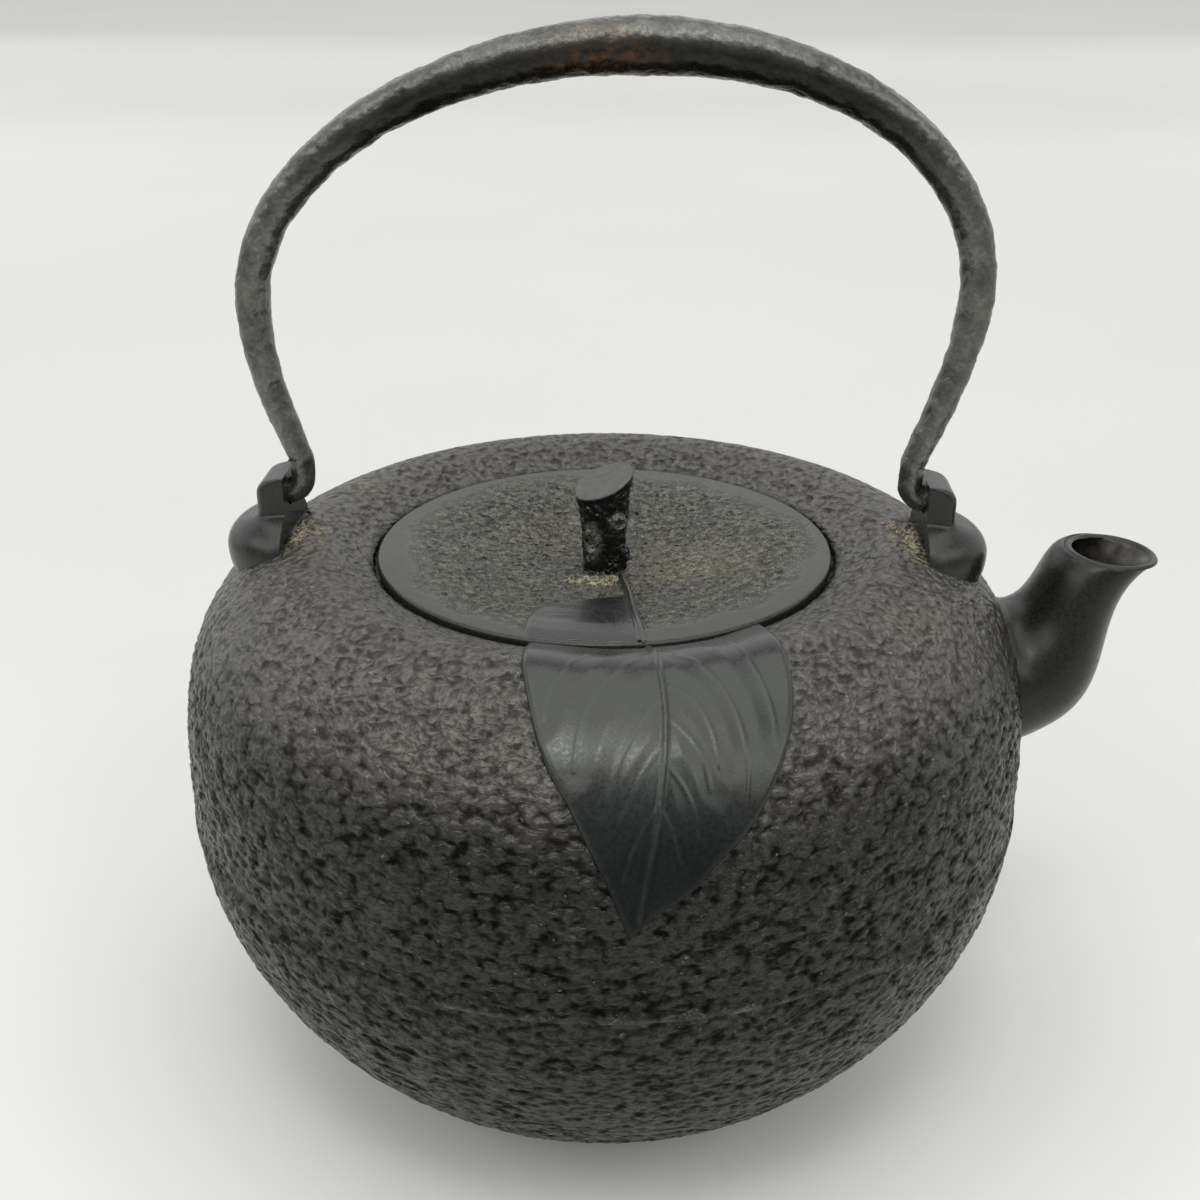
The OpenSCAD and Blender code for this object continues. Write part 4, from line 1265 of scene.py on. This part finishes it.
crustShape = {"grain": 0.42, "perSquareMetre": 1.6e6, "around": 28, "rows": 8}
crusts = [
    ("crustAtKnob", "lid_body", "cast_lid", 3, lambda x, y: dishZ(math.hypot(x, y)),
     [(-2.6, -8.0, 4.4, 1.5, -0.1, 0.75), (1.4, -7.0, 2.2, 1.3, 0.4, 0.5)]),
    ("crustAtEars", "kettle", "cast_body", 8, lambda x, y: b["bellyHeight"] + shoulderZ(math.hypot(x, y)),
     [(-60.3, -3.6, 1.2, 5.2, 0.1, 0.55), (60.6, -2.6, 1.3, 6.4, -0.1, 0.6),
      (57.6, 3.4, 1.1, 3.6, 0.3, 0.35)]),
]
grainTree = crustTree()
for name, body, slot, seed, height, spots in crusts:
    crust = applyTree(makeMound(name, spots, height), grainTree, {
        "Grain": crustShape["grain"], "Count": crustShape["perSquareMetre"], "Seed": seed,
        "Material": waterScale})
    finishPiece(crust, waterScale, body, [])


# handle: one forged bar, hook to hook

barShape = {"hookR": 2.5, "faceGap": 0.4, "tipShort": 0.6, "bendR": 3.0, "shank": 7.0, "flare": 7.8,
            "kick": 20.0, "kickLength": 7.0, "side": 12.0, "middle": 38.5, "top": 83.3, "lean": 7.0,
            "sideD": 6.9, "topThick": 10.4, "topWide": 12.0, "swell": 2.2, "rows": 760, "around": 88,
            "square": 2.2, "blow": 5.6, "blowDepth": 0.6, "seed": 5.0}


def barLine():
    # stations of [x, height above the eye, thickness, width] from the tip of one hook to the other's
    s = barShape
    hookX = earShape["inner"] - s["faceGap"] - s["hookR"]
    half, kick, d = hookX + s["flare"], math.radians(s["kick"]), 2 * s["hookR"]
    side, crown = s["sideD"], s["top"] - s["middle"]
    tip = earShape["inner"] + earShape["stemThick"] - s["tipShort"]
    stations = [[tip, 0, d, d], [hookX + s["bendR"], 0, d, d]]
    for a in np.linspace(0, math.pi / 2, 12)[1:]:
        stations.append([hookX + s["bendR"] * (1 - math.sin(a)), s["bendR"] * (1 - math.cos(a)), d, d])
    leg = [[hookX, s["shank"]],
           [hookX + s["kickLength"] * math.sin(kick), s["shank"] + s["kickLength"] * math.cos(kick)],
           [half, s["middle"] - s["side"]], [half, s["middle"]]]
    for t in np.linspace(0, 1, 20):
        stations.append([*bezierPoint(leg, t), d + (side - d) * t, d + (side - d) * t])
    legRows = len(stations)
    for a in np.linspace(0, math.pi, 121)[1:]:
        share = (1 - abs(a - math.pi / 2) / (math.pi / 2)) ** s["swell"]
        stations.append([half * math.cos(a), s["middle"] + crown * math.sin(a),
                         side + (s["topThick"] - side) * share, side + (s["topWide"] - side) * share])
    stations = np.array(stations)
    # the second leg repeats the first one's stations, mirrored
    stations = np.vstack([stations, (stations[:legRows] * [-1, 1, 1, 1])[::-1][1:]])
    stations[:, 0] += s["lean"] * (np.maximum(stations[:, 1] - s["shank"], 0) / (s["top"] - s["shank"])) ** 2
    return lineAt(stations, np.linspace(0, 1, s["rows"]))


def makeBar():
    s = barShape
    line, n = barLine(), s["around"]
    rows, step = len(line), stepsAlong(line[:, :2])
    turn = turnsOf(n)
    cosine, sine = np.cos(turn), np.sin(turn)
    topShare = np.clip((line[:, 1] - s["middle"]) / (s["top"] - s["middle"]), 0, 1) ** 1.6
    points, skin, faces = [], [], []
    for i, (station, along, squareness) in enumerate(zip(line, step, topShare)):
        power = 2 + (s["square"] - 2) * squareness
        ox = np.sign(cosine) * np.abs(cosine) ** (2 / power) * station[2] / 2
        oy = np.sign(sine) * np.abs(sine) ** (2 / power) * station[3] / 2
        height = earShape["eyeHeight"] + station[1] - along[0] * ox
        points.append(np.stack([station[0] + along[1] * ox, oy, height], 1))
        skin.append(np.full(n, min(1.0, min(i, rows - 1 - i) / 30 * 0.5 + 0.25)))
    for i in range(rows - 1):
        faces += bandFaces(i * n, n, (i + 1) * n, n)
    # the two tips are rounded off with smaller rings
    total = rows * n
    for end in (points[0], points[-1]):
        points += [end.mean(0) + (end - end.mean(0)) * share for share in (0.75, 0.4)]
    for first, second in ((total, 0), (total + n, total), (total - n, total + 2 * n),
                          (total + 2 * n, total + 3 * n)):
        faces += bandFaces(first, n, second, n)
    faces += [tuple(range(total + 2 * n - 1, total + n - 1, -1)), tuple(range(total + 3 * n, total + 4 * n))]
    piece = meshObject("forgedHandle", np.vstack(points), faces)
    storeValues(piece, "skin", np.concatenate(skin + [np.zeros(4 * n)]))
    # the side that faces away from the bow's middle
    outer = np.tile(np.clip(cosine * 2, 0, 1), rows)
    storeValues(piece, "outer", np.concatenate([outer, np.zeros(4 * n)]))
    return outward(piece)


bar = applyTree(makeBar(), hammerMarks, {"Blow Size": barShape["blow"], "Depth": barShape["blowDepth"],
                                         "Seed": barShape["seed"], "Material": forgedBar})
finishPiece(bar, forgedBar, "handle", ["handle_bow", "hook_left", "hook_right"])

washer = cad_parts["knob_washer"]
washer.data.materials.clear()
washer.data.materials.append(dullIron)


# floor, lamps and camera; lengths are in metres

# world and room are how bright the room is to the surfaces and to the eye; far is the floor's distant glow
stageLight = {"world": 0.26, "room": 0.42, "far": 0.62}
# each soft box: place, target, width, height and how bright it looks, where 1 is a white sheet in full light
softBoxes = {
    "softAbove": ((0.0, -0.15, 1.41), (0.0, -0.07, 0.11), 1.8, 1.75, 1.6),
    "softBack": ((0.0, 2.2, 1.3), (0.0, 0.0, 0.1), 4.0, 1.9, 0.68),
    "softLeft": ((-1.5, 0.75, 0.8), (0.0, 0.0, 0.1), 2.0, 1.3, 0.8),
    "softRight": ((1.5, 0.75, 0.8), (0.0, 0.0, 0.1), 2.0, 1.3, 0.58),
    "brightSpot": ((0.0, -0.62, 1.29), (0.0, -0.07, 0.1), 0.34, 0.26, 8.5),
    "softFrontLeft": ((-1.4, -0.95, 1.4), (0.0, 0.0, 0.08), 1.7, 0.75, 2.2),
    "softFrontRight": ((1.4, -0.95, 1.4), (0.0, 0.0, 0.08), 1.7, 0.75, 2.2),
}
floorHalf = 8.0
viewerShape = {"place": (0.0107, -0.2766, 0.2276), "heading": 2.4, "down": 24.81, "roll": -0.06, "lens": 45.0,
               "sensor": 36.0, "nearest": 0.01}


def paleRays(near):
    # 1 for the rays that should meet a pale room: straight to the eye, mirrored or through glass
    path = addNode(near, "ShaderNodeLightPath").outputs
    mirrored = mathOf("MAXIMUM", path["Is Glossy Ray"], path["Is Transmission Ray"])
    return mathOf("MAXIMUM", path["Is Camera Ray"], mirrored)


# A pale paper sweep: flat light grey that brightens toward the back, with no gloss of its own, and a painted
# glow in front
def floorMaterial():
    material, shader, place = startMaterial("paperFloor")
    paper = rampOf(noiseFactor(place, 400, detail=2, low=0.3, high=0.7), (0.0, "#d5d5d2"), (1.0, "#d8d8d5"))
    behind = axisOf(place, 1)
    near = rangeOf(behind, 0.3, 1.3, toMax=0.27)
    far = rangeOf(lengthOf(place), 1.8, 2.9, near, stageLight["far"])
    # painted light: a glow in front of the kettle lightens its shadow on the floor, and it shows in the
    # iron's reflections
    frontShadowLift = rangeOf(behind, 0.16, -0.08, toMax=0.15)
    plug(shader, {"Base Color": paper, "Emission Color": paper, "Roughness": 0.7, "Specular IOR Level": 0.2,
                  "Emission Strength": times(mathOf("MAXIMUM", far, frontShadowLift), paleRays(place))})
    return material


def addLamp(name, place, target, width, height, brightness):
    lamp = bpy.data.lights.new(name, "AREA")
    lamp.shape, lamp.size, lamp.size_y = "RECTANGLE", width, height
    lamp.energy = brightness * math.pi * width * height
    holder = linked(bpy.data.objects.new(name, lamp))
    holder.location = place
    holder.rotation_euler = (Vector(target) - Vector(place)).to_track_quat("-Z", "Y").to_euler()
    holder.visible_camera = False


sheet = bpy.data.meshes.new("floor")
corners = [(-floorHalf, -floorHalf, 0), (floorHalf, -floorHalf, 0), (floorHalf, floorHalf, 0),
           (-floorHalf, floorHalf, 0)]
sheet.from_pydata(corners, [], [(0, 1, 2, 3)])
sheet.materials.append(floorMaterial())
floor = linked(bpy.data.objects.new("floor", sheet))
for name, box in softBoxes.items():
    addLamp(name, *box)

scene = bpy.context.scene
world = bpy.data.worlds.new("room")
scene.world = world
world.use_nodes = True
room = world.node_tree.nodes["Background"]
plug(room, {"Color": hexToLinear("#f2f3f3"),
            "Strength": rangeOf(paleRays(room), toMin=stageLight["world"], toMax=stageLight["room"])})

eye = bpy.data.cameras.new("viewer")
eye.lens, eye.sensor_width = viewerShape["lens"], viewerShape["sensor"]
eye.clip_start = viewerShape["nearest"]
viewer = linked(bpy.data.objects.new("viewer", eye))
viewer.location = viewerShape["place"]
viewer.rotation_euler = (Matrix.Rotation(math.radians(viewerShape["heading"]), 3, "Z")
                         @ Matrix.Rotation(math.radians(90 - viewerShape["down"]), 3, "X")
                         @ Matrix.Rotation(math.radians(viewerShape["roll"]), 3, "Z")).to_euler()
scene.camera = viewer
scene.view_settings.view_transform = "Standard"
print("stage ready")
